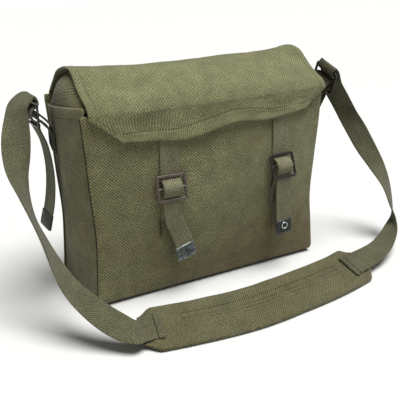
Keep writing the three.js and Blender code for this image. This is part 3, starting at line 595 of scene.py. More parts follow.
def gusset_grid(side, cols=36, corner_rows=7, wall_rows=60):
    radius = BOTTOM_RADIUS - CLOTH - GAP
    floor = CLOTH + GAP
    grid = []
    for i in range(corner_rows + wall_rows + 1):
        a = math.pi / 2 * min(i / corner_rows, 1)
        half = GUSSET_HALF - radius + radius * math.sin(a)
        share = max(i - corner_rows, 0) / wall_rows
        row = []
        for j in range(cols + 1):
            y = (j / cols * 2 - 1) * half
            z = lerp(floor + radius * (1 - math.cos(a)), gusset_top(side, y), share)
            point = Vector((gusset_x(side, y, z, 0), y, z))
            calm = min((1 - abs(j / cols * 2 - 1)) * 5, 1)
            fold = bump_at(y, 14 * math.sin(z / 60), 9) * ease(z, 60, 120) * (1 - ease(z, 190, 235))
            point.x += side * calm * (unevenness(point, 38, 0.8, 7) - FOLD_DEEP * fold)
            point.x -= side * SEAM_INSET * ease(abs(j / cols * 2 - 1), 0.93, 0.985)
            row.append(point)
        grid.append(row)
    return grid


def gusset_half(side, grid):
    cols = len(grid[0]) - 1

    def half(i, j):
        drop = grid[-1][j].z - grid[i][j].z
        hem = 1 - ease(drop, HEM_TALL - 1.2, HEM_TALL + 1.2)
        groove = bump_at(drop, HEM_SEWN, 1.1)
        return CLOTH / 2 * (0.92 + 0.28 * hem - 0.22 * groove)

    return half


gussets = {}
for side, word in ((-1, "left"), (1, "right")):
    grid = gusset_grid(side)
    gussets[side] = grid
    cloth_piece(f"gusset_cloth_{word}", grid, gusset_half(side, grid), canvas)

# %% [markdown]
# The lid starts with a hem on the back wall, goes over the load in an arch and falls down the front
# with both lower corners cut off. Its rim is turned in: the hem is wide along the front edge and
# narrow along the sides, and both are sewn down with one line of stitches.

# %% The lid's surface
LID_HALF = 337 / 2
LID_RISE, LID_HEM_DEPTH, LID_FALL = 44, 20, 35
CHAMFER_WIDE, CHAMFER_TALL = 36, 30
NARROW_WEB, NARROW_THICK = 25, 1.8
UNDER_LID = NARROW_THICK + 2 * GAP + CLOTH + 1.2
ARCH = {
    "along": [0, 0.12, 0.24, 0.4, 0.55, 0.64, 0.74, 0.86, 0.95, 1],
    -1: [0, 0.36, 0.7, 0.9, 0.97, 0.88, 0.58, 0.34, 0.2, 0],
    0: [0, 0.4, 0.64, 0.8, 0.84, 0.81, 0.7, 0.48, 0.28, 0],
    1: [0, 0.5, 0.8, 0.92, 0.85, 0.67, 0.46, 0.27, 0.15, 0],
}
LID_EDGE = {
    "across": [-1, -0.72, -0.4, -0.1, 0.15, 0.5, 0.8, 1],
    "fall": [0.95, 1, 1.1, 0.92, 0.76, 0.86, 0.78, 0.7],
}


def arch_z(share, along):
    edge = -1 if share < 0 else 1
    rise = lerp(smooth(ARCH, "along", 0, along), smooth(ARCH, "along", edge, along), abs(share) ** 3)
    return lerp(BACK_HEIGHT, FRONT_HEIGHT, along) + LID_RISE * rise


def arch_back(x):
    return back_y(x, BACK_HEIGHT) + CLOTH + GAP


def arch_front(x):
    return front_y(x, FRONT_HEIGHT) - UNDER_LID


def under_arch(x, y):
    along = min(max((arch_back(x) - y) / (arch_back(x) - arch_front(x)), 0), 1)
    share = min(max(x / LID_HALF, -1), 1)
    step = 0.02
    slope = (arch_z(share, along + step) - arch_z(share, along - step)) / (2 * step * BAG_DEPTH)
    return arch_z(share, along) + CLOTH + GAP - (CLOTH + 4 * GAP) * math.hypot(1, slope)


HEM_ROWS, ARCH_ROWS, FALL_ROWS = 8, 64, 30


def lid_point(share, row):
    x = share * LID_HALF
    if row < HEM_ROWS:
        z = BACK_HEIGHT - LID_HEM_DEPTH * (1 - row / HEM_ROWS)
        return Vector((x, back_y(x, z) + CLOTH + GAP, z))
    along = (row - HEM_ROWS) / ARCH_ROWS
    if along <= 1:
        return Vector((x, lerp(arch_back(x), arch_front(x), along), arch_z(share, along) + CLOTH + GAP))
    down = (row - HEM_ROWS - ARCH_ROWS) / FALL_ROWS
    cut = min(max(1 - (1 - down) * (LID_FALL / CHAMFER_TALL), 0), 1)
    narrowed = x * (1 - CHAMFER_WIDE / LID_HALF * cut)
    z = FRONT_HEIGHT + CLOTH + GAP - LID_FALL * smooth(LID_EDGE, "across", "fall", share) * down
    return on_front(narrowed, z, UNDER_LID)


RIM_LIFT, LID_LENGTH, CREASE_DEPTH = 1.8, 190, 1.15
# Creases of the lid: across and along as shares, slant, length, width and depth in mm
LID_CREASES = [
    (-0.05, 0.62, 12, 70, 9, 1.3), (0.12, 0.5, -8, 60, 8, -1.2), (0.45, 0.35, 25, 45, 8, 1.2),
    (-0.55, 0.7, -20, 50, 9, 1.1), (-0.3, 0.35, 8, 60, 10, -1.0), (0.72, 0.6, -35, 35, 8, -1.3),
    (0.6, 0.9, 10, 40, 7, 0.9), (-0.75, 0.95, 30, 30, 7, 0.8),
]


def lid_lift(x, depth):
    """How far the lid's creases, its waves and its fine puckers stand up at a place, in mm."""
    creases = [(across * LID_HALF, along * LID_LENGTH, *shape) for across, along, *shape in LID_CREASES]
    lift = CREASE_DEPTH * sum(crease(x, depth, line) for line in creases)
    waves, puckers = Vector((x, depth, 0)), Vector((x, depth, 5))
    return lift + (unevenness(waves, 34, 1.35, 3) + abs(unevenness(puckers, 16, 0.7, 9)))


def lid_grid(cols=96):
    rows = HEM_ROWS + ARCH_ROWS + FALL_ROWS
    grid = [[lid_point(j / cols * 2 - 1, i) for j in range(cols + 1)] for i in range(rows + 1)]
    normals = grid_normals(grid)
    for i in range(rows + 1):
        for j in range(cols + 1):
            along = i / rows
            share = j / cols * 2 - 1
            calm = min((1 - abs(share)) * 9, 1) * min((1 - along) * 12, 1) * ease(along, 0.1, 0.25)
            grid[i][j] += normals[i][j] * (lid_lift(share * LID_HALF, along * LID_LENGTH) * calm)
            grid[i][j].y -= RIM_LIFT * ease(along, 0.9, 1)
    return grid


# %% The lid
SIDE_HEM, FRONT_HEM, RIM_SEWN = 10, 17, 1.6
HEM_COLS, HEM_DEEP, FAR_AWAY = 9, 26, 99
lid_cloth_grid = lid_grid()


def rim_distance(grid, i, j):
    """How far a grid point is from the side edges and from the front edge, along the cloth.

    Points that are many columns or rows away are simply far away, which saves time.
    """
    row, rows, last = grid[i], len(grid) - 1, len(grid[i]) - 1
    aside, ahead = FAR_AWAY, FAR_AWAY
    if min(j, last - j) < HEM_COLS:
        aside = min(sum((row[k + 1] - row[k]).length for k in range(j)),
                    sum((row[k + 1] - row[k]).length for k in range(j, last)))
    if rows - i < HEM_DEEP:
        ahead = sum((grid[k + 1][j] - grid[k][j]).length for k in range(i, rows))
    return aside, ahead


def lid_half(i, j):
    aside, ahead = rim_distance(lid_cloth_grid, i, j)
    hem = max(1 - ease(aside, SIDE_HEM - 1.5, SIDE_HEM + 1), 1 - ease(ahead, FRONT_HEM - 1.5, FRONT_HEM + 1))
    groove = max(bump_at(aside, SIDE_HEM - RIM_SEWN, 1.1), bump_at(ahead, FRONT_HEM - RIM_SEWN, 1.2))
    return CLOTH / 2 * (0.85 + 0.6 * hem - 0.6 * groove)


# The lid wears the darker copy of the canvas, painted shade against the overhead light.
lid_cloth = cloth_piece("lid_cloth", lid_cloth_grid, lid_half, shaded_lid_canvas)
print("lid_cloth", len(lid_cloth.data.polygons), "faces")

# %% [markdown]
# The ears are sewn inside the gussets' hems, come up and fold in under the lid. They keep rain out
# at the lid's open ends. Fine ribs run across them, where the cloth was pressed in folds.

# %% The ears
EAR = {"k": [0, 1, 2, 3, 4, 5], "inward": [0, 0, 0.05, 0.2, 0.5, 1], "rise": [0, 0.42, 0.68, 0.88, 0.98, 1]}
EAR_REACH, EAR_TUCK, EAR_SIDE_GAP = 50, 24, 4
RIB_TALL, RIB_PITCH, RIB_FADE = 0.25, 4.2, 8


def ear_grid(side, cols=32, steps=60):
    half = GUSSET_HALF - EAR_SIDE_GAP
    grid = []
    for i in range(steps + 1):
        t = i / steps * 5
        row = []
        for j in range(cols + 1):
            y = (j / cols * 2 - 1) * half
            start = gusset_top(side, y) - EAR_TUCK
            inward = side * EAR_REACH * smooth(EAR, "k", "inward", t)
            wall_x = lambda z: gusset_x(side, y, min(z, gusset_top(side, y)), CLOTH + 3 * GAP)
            end = under_arch(wall_x(start) - inward, y)
            z = lerp(start, end, smooth(EAR, "k", "rise", t))
            point = Vector((wall_x(z) - inward, y, z))
            shown = ease(z, start + EAR_TUCK, start + EAR_TUCK + RIB_FADE)
            ribs = RIB_TALL * math.sin(z * 2 * math.pi / RIB_PITCH) * shown
            point.x += side * ribs * min((1 - abs(j / cols * 2 - 1)) * 6, 1)
            row.append(point)
        grid.append(row)
    return grid


for side, word in ((-1, "left"), (1, "right")):
    cloth_piece(f"ear_{word}", ear_grid(side), lambda i, j: CLOTH / 2 * 0.9, canvas)

# %% [markdown]
# Webbing is woven flat with a firm edge on each side. It runs through chosen stations, each with its
# middle point and the direction of its width, on the same smooth curves as the frame's webbing.

# %% Smooth curves through stations
def cubic(x0, x1, t0, t1, w):
    return (2 * x0 - 2 * x1 + t0 + t1) * w ** 3 + (-3 * x0 + 3 * x1 - 2 * t0 - t1) * w ** 2 + t0 * w + x0


def through_points(points, t, even=False):
    """A point of the curve through the points, t from 0 to 1. even keeps all spans alike."""
    last = len(points) - 1
    i = min(int(last * t), last - 1)
    w = last * t - i
    p1, p2 = points[i], points[i + 1]
    p0 = points[i - 1] if i > 0 else p1 * 2 - p2
    p3 = points[i + 2] if i + 2 <= last else p2 * 2 - p1
    if even:
        return cubic(p1, p2, (p2 - p0) * 0.5, (p3 - p1) * 0.5, w)
    d1 = max((p2 - p1).length, 1e-4) ** 0.5
    d0 = (p1 - p0).length ** 0.5 or d1
    d2 = (p3 - p2).length ** 0.5 or d1
    t0 = ((p1 - p0) / d0 - (p2 - p0) / (d0 + d1) + (p2 - p1) / d1) * d1
    t1 = ((p2 - p1) / d1 - (p3 - p1) / (d1 + d2) + (p3 - p2) / d2) * d1
    return cubic(p1, p2, t0, t1, w)


# Half widths and thickness shares of the webbing's cross-section, thicker at its woven edges
WEB_PROFILE = [(-1, 0.8), (-0.94, 1.05), (-0.84, 1.08), (-0.74, 0.94), (-0.4, 1), (0, 1), (0.4, 1),
               (0.74, 0.94), (0.84, 1.08), (0.94, 1.05), (1, 0.8)]


def web_stations(stations, steps):
    points = [s[0] for s in stations]
    turns = [s[1] for s in stations]
    count = (len(stations) - 1) * steps
    return [(through_points(points, k / count), through_points(turns, k / count, True).normalized())
            for k in range(count + 1)]


WEB_STEPS = 6
FOLD_THICKER = 2.1


def webbing(name, stations, width, thickness, material, doubled=0):
    """Webbing along (middle point, width direction) stations. Its last few rows may be turned in double."""
    half_wide = width / 2 - thickness / 2
    grid = [[p + across * (share * half_wide) for share, _ in WEB_PROFILE]
            for p, across in web_stations(stations, WEB_STEPS)]

    def half(i, j):
        fold = FOLD_THICKER if i >= len(grid) - doubled else 1
        return thickness / 2 * WEB_PROFILE[j][1] * fold

    return cloth_piece(name, grid, half, material)


# %% [markdown]
# Each closing strap goes behind its buckle's top bar, over the centre bar and behind the bottom bar.
# The chape, the tab that holds the buckle, comes up behind, turns round the centre bar and lies back
# on its own first layer.

# %% Places in and around a buckle
BAR_WIDE, BAR_THICK, CENTRE_BAR = 3.8, 2.6, 3


def in_plane(at, up, out):
    return at["centre"] + at["up"] * up + at["out"] * out


def wrap_radius(thickness):
    return CENTRE_BAR / 2 + GAP + thickness / 2


def chape_loop(at, thickness, approach):
    r = wrap_radius(thickness)

    def turned(side, along):
        return in_plane(at, along * math.cos(approach) - side * math.sin(approach),
                        along * math.sin(approach) + side * math.cos(approach))

    half_turn = [math.radians(degrees) for degrees in (0, 45, 90, 135, 180)]
    bend = [turned(-r * math.cos(a), r * math.sin(a)) for a in half_turn]
    return turned(-r, -2 * thickness), bend, turned(r, -2 * thickness)


def strap_through(at, height, thickness):
    bar = height / 2 - BAR_WIDE / 2
    edge = BAR_WIDE / 2 + 2 * GAP
    behind = -(BAR_THICK / 2 + 2 * GAP + thickness / 2)
    over = wrap_radius(thickness) + thickness + 3 * GAP
    return {
        "top": [in_plane(at, bar + edge, behind), in_plane(at, bar - edge, behind)],
        "over": [in_plane(at, over, over * 0.7), in_plane(at, 0, over), in_plane(at, -over, over * 0.7)],
        "bottom": [in_plane(at, edge - bar, behind), in_plane(at, -bar - edge, behind)],
    }


# %% [markdown]
# A buckle is a flat bar bent into a rounded rectangle, with a round centre bar let into its sides.
# Sweeping one rounded section along the outline gives the worn, soft corners of the real one.

# %% Buckles
BUCKLE_CORNER, BAR_SIDES, BAR_SWELL = 2.6, 12, 0.25
BAR_SHARES = [-1, -0.93, -0.86, -0.5, 0, 0.5, 0.86, 0.93, 1]


def rounded_outline(width, height, radius, steps=6):
    """Points and outward directions round a rectangle with rounded corners, in its own plane."""
    outline = []
    for k, (sx, sy) in enumerate(((1, 1), (-1, 1), (-1, -1), (1, -1))):
        for s in range(steps + 1):
            a = math.radians(90 * (k + s / steps))
            out = Vector((math.cos(a), math.sin(a), 0))
            centre = Vector((sx * (width / 2 - radius), sy * (height / 2 - radius), 0))
            outline.append((centre + out * radius, out))
    return outline


def metal_piece(name, verts, faces, material):
    mesh = bpy.data.meshes.new(name)
    mesh.from_pydata([v * MM for v in verts], [], faces)
    face_outwards(mesh)
    mesh.shade_smooth()
    return object_of(name, mesh, material)


def bar_section(wide, thick, soft=0.7, sides=16):
    """A rounded bar section: points (along its width, along its thickness)."""
    section = []
    for k in range(sides):
        a = 2 * math.pi * k / sides
        c, s = math.cos(a), math.sin(a)
        section.append((wide / 2 * math.copysign(abs(c) ** soft, c),
                        thick / 2 * math.copysign(abs(s) ** soft, s)))
    return section


def ring_faces(rings, around, start=0, closed=True):
    faces = []
    for i in range(rings if closed else rings - 1):
        for j in range(around):
            a, b = start + i * around, start + (i + 1) % rings * around
            faces.append((a + j, a + (j + 1) % around, b + (j + 1) % around, b + j))
    return faces


def buckle(name, width, height, at, across, coat):
    """A frame and its centre bar, placed by the buckle's own across, up and out directions."""
    outline = rounded_outline(width - BAR_WIDE, height - BAR_WIDE, BUCKLE_CORNER)
    section = bar_section(BAR_WIDE, BAR_THICK)
    verts = [p + out * w + Vector((0, 0, t)) for p, out in outline for w, t in section]
    faces = ring_faces(len(outline), len(section))
    start = len(verts)
    reach = (width - BAR_WIDE) / 2
    for share in BAR_SHARES:
        radius = CENTRE_BAR / 2 * (1 + BAR_SWELL * ease(abs(share), 0.88, 1))
        for k in range(BAR_SIDES):
            a = 2 * math.pi * k / BAR_SIDES
            verts.append(Vector((share * reach, radius * math.cos(a), radius * math.sin(a))))
    faces += ring_faces(len(BAR_SHARES), BAR_SIDES, start, closed=False)
    for ring in (0, len(BAR_SHARES) - 1):
        faces.append(tuple(start + ring * BAR_SIDES + k for k in range(BAR_SIDES)))
    place = [at["centre"] + across * v.x + at["up"] * v.y + at["out"] * v.z for v in verts]
    return metal_piece(name, place, faces, coat)


# %% [markdown]
# The metal tips are small plates folded round the strap ends. One strap's tip has a punched hole,
# and the other's has a raised eyelet.

# %% Strap tips
TIP_TALL, TIP_PLATE, TIP_COLS, TIP_ROWS = 18, 0.7, 12, 10
EYELET_RADIUS, EYELET_STEPS, EYELET_SIDES = 4.3, 28, 10
HOLE_IN_EYELET, HOLE_IN_PLATE, HOLE_STEPS = 3, 1.5, 24


def tip(name, width, thickness, end, eyelet, plate):
    """A folded plate: rounded corners, slightly crowned, on the strap's end. Returns its pieces."""
    at, level, down, face = end
    outer = thickness / 2 + GAP + TIP_PLATE
    cols, rows = TIP_COLS, TIP_ROWS
    verts = []
    for i in range(rows + 1):
        for j in range(cols):
            a = 2 * math.pi * j / cols
            c, s = math.cos(a), math.sin(a)
            crimp = 1 - 0.16 * bump_at(i / rows, 0.82, 0.07)
            squeeze = 1 if 0 < i < rows else 0.86
            x = (width / 2) * math.copysign(abs(c) ** 0.22, c) * (1 if i > 1 else 0.965 + 0.035 * i)
            z = outer * math.copysign(abs(s) ** 0.45, s) * crimp * squeeze
            verts.append(Vector((x, TIP_TALL * i / rows - outer * (0.7 if i == 0 else 0), z)))
    faces = ring_faces(rows + 1, cols, closed=False)
    faces.append(tuple(range(cols)))
    faces.append(tuple(rows * cols + j for j in range(cols)))
    place = lambda v: at + level * v.x + down * v.y + face * v.z
    pieces = [metal_piece(name, [place(v) for v in verts], faces, plate)]
    middle = TIP_TALL * 0.55
    if eyelet:
        ring = [(EYELET_RADIUS + w, t) for w, t in bar_section(2, 1.6, 1, EYELET_SIDES)]
        verts = [Vector((r * math.cos(a), middle + r * math.sin(a), outer + 0.25 + t))
                 for a in (2 * math.pi * k / EYELET_STEPS for k in range(EYELET_STEPS)) for r, t in ring]
        pieces.append(metal_piece(f"{name}_eyelet", [place(v) for v in verts],
                                  ring_faces(EYELET_STEPS, EYELET_SIDES), bright_metal))
    hole = HOLE_IN_EYELET if eyelet else HOLE_IN_PLATE
    disc = [Vector((hole * math.cos(a), middle + hole * math.sin(a), t)) for t in (outer - 0.6, outer + 0.06)
            for a in (2 * math.pi * k / HOLE_STEPS for k in range(HOLE_STEPS))]
    faces = ring_faces(2, HOLE_STEPS, closed=False)
    faces += [tuple(range(HOLE_STEPS)), tuple(range(HOLE_STEPS, 2 * HOLE_STEPS))]
    pieces.append(metal_piece(f"{name}_hole", [place(v) for v in disc], faces, dark_hole))
    return pieces


def tip_place(tail_end, before, across, thickness):
    """The tip's own frame from the strap's last two stations."""
    down = (before - tail_end).normalized()
    face = across.cross(down).normalized()
    return (tail_end + down * (-thickness / 2 - GAP), down.cross(face).normalized(), down, face)


# %% The closing straps
# From "across" to "tail": shares of the bag's half width or height. "lean" is the tail's slant, and
# "off" and "kick" say in mm how far the tail's end and the buckle's lower bar stand off.
CLOSINGS = [
    {"name": "left", "across": -0.44, "buckle": 0.612, "top": 0.93, "chape": 0.375, "tail": 0.225,
     "lean": 0.27, "off": 9, "kick": 0.98, "eyelet": False},
    {"name": "right", "across": 0.545, "buckle": 0.618, "top": 0.94, "chape": 0.385, "tail": 0.235,
     "lean": 0.05, "off": 12, "kick": 7, "eyelet": True},
]
FRONT_BUCKLE = (40, 34)
pieces = {}


def closing(row):
    x, thick = row["across"] * HALF_WIDTH, NARROW_THICK
    up = lambda share: share * FRONT_HEIGHT
    clear = CLOTH / 2 + 2 * GAP
    bar = FRONT_BUCKLE[1] / 2 - BAR_WIDE / 2
    top_off = clear + thick + 2 * GAP + BAR_THICK / 2
    bottom_off = top_off + 2 * thick + 2 * GAP + row["kick"]
    centre_z = up(row["buckle"])
    top, bottom = on_front(x, centre_z + bar, top_off), on_front(x, centre_z - bar, bottom_off)
    at = {"up": (top - bottom).normalized(), "centre": (top + bottom) / 2}
    at["out"] = across_front(x, centre_z).cross(at["up"]).normalized()
    across = at["up"].cross(at["out"])
    way = strap_through(at, FRONT_BUCKLE[1], thick)
    layer = clear + thick / 2
    half_way = 0.5 * (row["top"] + row["buckle"]) + 0.04
    heights = (up(row["top"]), up(half_way), centre_z + 0.85 * FRONT_BUCKLE[1])
    strap = [(on_front(x, z, layer + 0.2), across_front(x, z)) for z in heights]
    strap += [(p, across) for p in way["top"] + way["over"] + way["bottom"]]
    tail_top, tail_end = way["bottom"][1].z, up(row["tail"])
    for share in (0.15, 0.4, 0.7, 1):
        z = lerp(tail_top, tail_end, share)
        shift = (tail_top - z) * row["lean"] * min(share * 1.5, 1)
        off = bottom_off - BAR_THICK / 2 - GAP - thick / 2 + (row["off"] - bottom_off * 0.4) * share * share
        turn = math.atan(row["lean"]) * min(share * 2, 1)
        level = across_front(x + shift, z)
        turned = level * math.cos(turn) + Vector((0, 0, 1)) * math.sin(turn)
        strap.append((on_front(x + shift, z, off), turned))
    pieces[f"closing_strap_{row['name']}"] = webbing(f"closing_web_{row['name']}", strap, NARROW_WEB, thick,
                                                     narrow_web)
    end = tip_place(strap[-1][0], strap[-2][0], strap[-1][1], thick)
    plate, coat = (dark_tip_metal, black_enamel) if row["eyelet"] else (tip_metal, enamel)
    pieces[f"closing_tip_{row['name']}"] = tip(f"front_tip_{row['name']}", NARROW_WEB + 1, thick, end,
                                               row["eyelet"], plate)

    sewn = up(row["chape"])
    from_bar = lambda share, off: on_front(x, lerp(centre_z - bar, sewn, share), off)
    step = thick + GAP
    dive = way["bottom"][0] - way["over"][2]
    inward = across.cross(dive).normalized() * (step + 4 * GAP)
    strap_at_bar = BAR_THICK / 2 + 2 * GAP + thick / 2
    flat = lambda p: (p, across_front(x, p.z))
    back = -strap_at_bar - 2 * step - 3 * GAP
    chape = [flat(from_bar(s, layer)) for s in (1, 0.45)]
    chape += [(in_plane(at, -bar, back), across), (in_plane(at, -0.8 * bar, back), across)]
    chape += [(p, across) for p in chape_loop(at, thick, 0.25)[1]]
    chape += [(way["over"][2] + dive * s + inward, across) for s in (0.5, 1)]
    chape += [(in_plane(at, -bar, -strap_at_bar - step - 2 * GAP), across)]
    chape += [flat(from_bar(s, layer + step)) for s in (0.45, 0.9)]
    pieces[f"closing_chape_{row['name']}"] = webbing(f"closing_tab_{row['name']}", chape, NARROW_WEB, thick,
                                                     narrow_web)
    pieces[f"closing_buckle_{row['name']}"] = buckle(f"front_buckle_{row['name']}", *FRONT_BUCKLE, at, across,
                                                     coat)
    return chape


front_tabs = {row["name"]: closing(row) for row in CLOSINGS}

# %% [markdown]
# The pad is a cotton sleeve round a soft filling. It lies on the floor in front of the bag, tipped
# up a little on its far edge, and both of its ends are gathered in under the strap. Long rows of
# stitches hold the filling, so the pad swells between them.

# %% The pad's middle line
PAD_WIDTH, PAD_THICK, PAD_END, PAD_GATHER, PAD_TILT = 63, 8, 3.4, 0.64, 23
GATHER_SHARE, PAD_FINE = 0.055, 200
PAD_ROUTE = [(-0.93, 1.262), (-0.58, 1.355), (-0.12, 1.425), (0.27, 1.395), (0.66, 1.335), (0.93, 1.26),
             (1.1, 1.195)]
pad_points = [Vector((out * HALF_WIDTH, -forth * BAG_DEPTH, 0)) for out, forth in PAD_ROUTE]
pad_fine = [through_points(pad_points, k / PAD_FINE) for k in range(PAD_FINE + 1)]
pad_length = running_length(pad_fine)


def pad_turn(share):
    """The curve's own parameter at a share of its length."""
    aim = share * pad_length[-1]
    k = next((i for i, d in enumerate(pad_length) if d >= aim), PAD_FINE)
    if k == 0:
        return 0
    return (k - 1 + (aim - pad_length[k - 1]) / (pad_length[k] - pad_length[k - 1])) / PAD_FINE


def pad_at(share):
    """The pad's middle point, directions, thickness and width at a share of its length."""
    t = pad_turn(share)
    p = through_points(pad_points, t)
    a, b = through_points(pad_points, max(t - 1e-3, 0)), through_points(pad_points, min(t + 1e-3, 1))
    along = (b - a).normalized()
    tilt = math.radians(PAD_TILT)
    level = Vector((0, 0, 1)).cross(along)
    across = level * math.cos(tilt) + Vector((0, 0, math.sin(tilt)))
    fade = ease(min(share, 1 - share), 0, GATHER_SHARE)
    p.z = PAD_WIDTH / 2 * math.sin(tilt) + PAD_THICK / 4 * math.cos(tilt)
    return {"p": p, "along": along, "across": across, "face": along.cross(across),
            "thick": lerp(PAD_END, PAD_THICK, fade), "wide": PAD_WIDTH * lerp(PAD_GATHER, 1, fade)}


# %% The shoulder strap, its buckles and its tabs
WIDE_WEB, WIDE_THICK = 34, 2
SIDE_BUCKLE = (46, 32)
# Stations from each side buckle to the pad: out, forth and up as shares, turn and tilt in degrees
ROUTES = {
    "left": [
        (1.24, -0.245, 1.03, -82, -6), (1.31, -0.23, 0.992, -68, -4), (1.345, -0.165, 0.93, -48, 4),
        (1.375, -0.08, 0.863, -25, 0), (1.41, 0.04, 0.766, 6, -8), (1.43, 0.14, 0.71, 28, -12),
        (1.43, 0.27, 0.635, 50, -16), (1.415, 0.43, 0.54, 64, -18), (1.38, 0.55, 0.45, 62, -16),
        (1.345, 0.7, 0.355, 53, -10), (1.3, 0.85, 0.27, 42, -3), (1.24, 0.985, 0.21, 35, 5),
        (1.15, 1.14, 0.148, 37, 20), (1.07, 1.25, 0.11, 48, 28), (0.985, 1.33, 0.085, 68, 22)],
    "right": [
        (1.245, 0.235, 1.045, -82, -10), (1.285, 0.215, 0.96, -74, 6), (1.335, 0.225, 0.9, -62, 3),
        (1.43, 0.25, 0.8, -40, -6), (1.535, 0.31, 0.68, -20, 5), (1.63, 0.37, 0.565, -10, 9),
        (1.745, 0.445, 0.435, 9, 4), (1.8, 0.55, 0.325, 27, -5), (1.805, 0.655, 0.215, 38, -14),
        (1.78, 0.745, 0.155, 54, -12), (1.685, 0.85, 0.11, 76, -5), (1.5, 1, 0.075, 90, 3),
        (1.32, 1.12, 0.07, 94, 12)],
}
SHOULDERS = [
    {"name": "left", "side": -1, "out": 1.215, "forth": -0.22, "up": 0.95, "lean": 0,
     "tab": (0.012, 0.068), "fold": 7},
    {"name": "right", "side": 1, "out": 1.21, "forth": 0.2, "up": 0.995, "lean": 20,
     "tab": (0.988, 0.9), "fold": 4},
]
# Stations of the hanging tail from the buckle down: out and up as shares, turn in degrees
TAIL = [(1.15, 0.8, -92), (1.125, 0.7, -92), (1.12, 0.6, -91), (1.14, 0.48, -90), (1.185, 0.36, -90)]
SEWN_END, SEWN_TOP, LAYER_STEP = 0.75, 0.87, 0.015
CREST_RISE, WIDE_EASE = 3.6, 0.6


def on_gusset(side, y, z, off):
    return Vector((gusset_x(side, y, z, -off), y, z))


def across_gusset(side, y, z, lean):
    dy, dz = WIDE_WEB / 2 * math.cos(lean), WIDE_WEB / 2 * math.sin(lean)
    return (on_gusset(side, y - dy, z - dz, 0) - on_gusset(side, y + dy, z + dz, 0)).normalized()


def tab_stations(row):
    """The strap's last stations, flat on the pad's face."""
    stations = []
    for part in (0, 0.25, 0.5, 0.75, 1):
        pad = pad_at(lerp(*row["tab"], part))
        off = pad["thick"] / 2 + 2 * GAP + WIDE_THICK / 2
        stations.append((pad["p"] + pad["face"] * off, pad["across"]))
    return stations


def shoulder(row):
    name, side, thick = row["name"], row["side"], WIDE_THICK
    lean = math.radians(row["lean"])
    centre = Vector((side * row["out"] * HALF_WIDTH, -row["forth"] * BAG_DEPTH, row["up"] * BACK_HEIGHT))
    bars = Vector((0, -math.cos(lean), -math.sin(lean)))
    at = {"centre": centre, "up": Vector((0, -math.sin(lean), math.cos(lean))), "out": Vector((side, 0, 0))}
    bar = SIDE_BUCKLE[1] / 2 - BAR_WIDE / 2
    way = strap_through(at, SIDE_BUCKLE[1], thick)
    back_at = lambda z: centre.y + (centre.z - z) * math.tan(lean)
    strap = []
    for out, up, turn in reversed(TAIL):
        z = up * BACK_HEIGHT
        turned = Matrix.Rotation(-side * math.radians(turn + 90), 3, "Z") @ bars
        strap.append((Vector((side * out * HALF_WIDTH, back_at(z), z)), turned))
    tail_end = strap[:2]
    strap += [(p, bars) for p in reversed(way["top"] + way["over"] + way["bottom"])]
    strap.append((in_plane(at, bar + BAR_WIDE / 2 + thick + CREST_RISE, -GAP), bars))
    for out, forth, up, turn, tilt in ROUTES[name]:
        turn, tilt = math.radians(turn), math.radians(tilt)
        across = Vector((math.cos(turn) * math.cos(tilt), math.sin(turn) * math.cos(tilt), math.sin(tilt)))
        strap.append((Vector((side * out * HALF_WIDTH, -forth * BAG_DEPTH, up * BACK_HEIGHT)), across))
    strap += tab_stations(row)
    pieces[f"shoulder_strap_{name}"] = webbing(f"shoulder_web_{name}", strap, WIDE_WEB, thick, wide_web,
                                               doubled=row["fold"])
    end = tip_place(tail_end[0][0], tail_end[1][0], tail_end[0][1], thick)
    pieces[f"shoulder_tip_{name}"] = tip(f"side_tip_{name}", WIDE_WEB + 1, thick, end, False, black_tip)

    layer = CLOTH / 2 + 2 * GAP + thick / 2 + WIDE_EASE
    second = layer + thick + GAP

    def sewn(share, off):
        z = share * BACK_HEIGHT
        return on_gusset(side, back_at(z), z, off), across_gusset(side, back_at(z), z, lean)

    to_bar = centre - sewn(SEWN_TOP, layer)[0]
    approach = math.atan2(to_bar.dot(at["out"]), to_bar.dot(at["up"]))
    before, bend, after = chape_loop(at, thick, approach)
    middle = 0.5 * (SEWN_END + SEWN_TOP)
    chape = [sewn(s, layer) for s in (SEWN_END, middle, SEWN_TOP)]
    chape += [(p, bars) for p in [before, *bend, after]]
    chape += [sewn(SEWN_TOP - LAYER_STEP, second + WIDE_EASE), sewn(middle, second),
              sewn(SEWN_END + LAYER_STEP, second)]
    # The side tab is made in the darker webbing, painted shade.
    pieces[f"shoulder_chape_{name}"] = webbing(f"shoulder_tab_{name}", chape, WIDE_WEB, thick, shaded_web)
    across = bars if side < 0 else -bars
    pieces[f"shoulder_buckle_{name}"] = buckle(f"side_buckle_{name}", *SIDE_BUCKLE, at, across, black_enamel)
    return chape


side_tabs = {row["name"]: shoulder(row) for row in SHOULDERS}

# %% [markdown]
# The pad's own surface: a flat ring of points round each cross-section. The sewn channels are drawn
# in as grooves, and near the ends the gathered cloth stands in small folds. A short run of the cloth
# solver with a little pressure then lets the cloth between the stitches find its own shape.

# %% The pad
CHANNELS = [0.42, 0.3, 0.18, 0.02, -0.14, -0.3, -0.46]
CHANNEL_WIDE, CHANNEL_DEEP, CROWN_POWER = 0.035, 0.42, 3.2
PAD_ROWS, PAD_SIDE = 150, 26
GATHER_FOLD, FLOOR_CLEAR = 2.1, 0.3
PAD_PRESSURE, CLOTH_FRAMES, SWELL_CAP = 1.2, 14, 1.6


def pad_section(share_along):
    """Points round one section: how far across, how far up from the middle, and how deep in a channel."""
    sewn = ease(min(share_along, 1 - share_along), 0.08, 0.14)
    ring = []
    for face in (1, -1):
        for k in range(PAD_SIDE):
            s = -1 + 2 * (k + 0.5) / PAD_SIDE
            s = s if face > 0 else -s
            crown = max(1 - abs(s) ** CROWN_POWER, 0) ** 0.5
            groove = sum(bump_at(s, c, CHANNEL_WIDE) for c in CHANNELS) * sewn
            ring.append((s, face * crown * (1 - CHANNEL_DEEP * groove), groove if face > 0 else 0))
    return ring


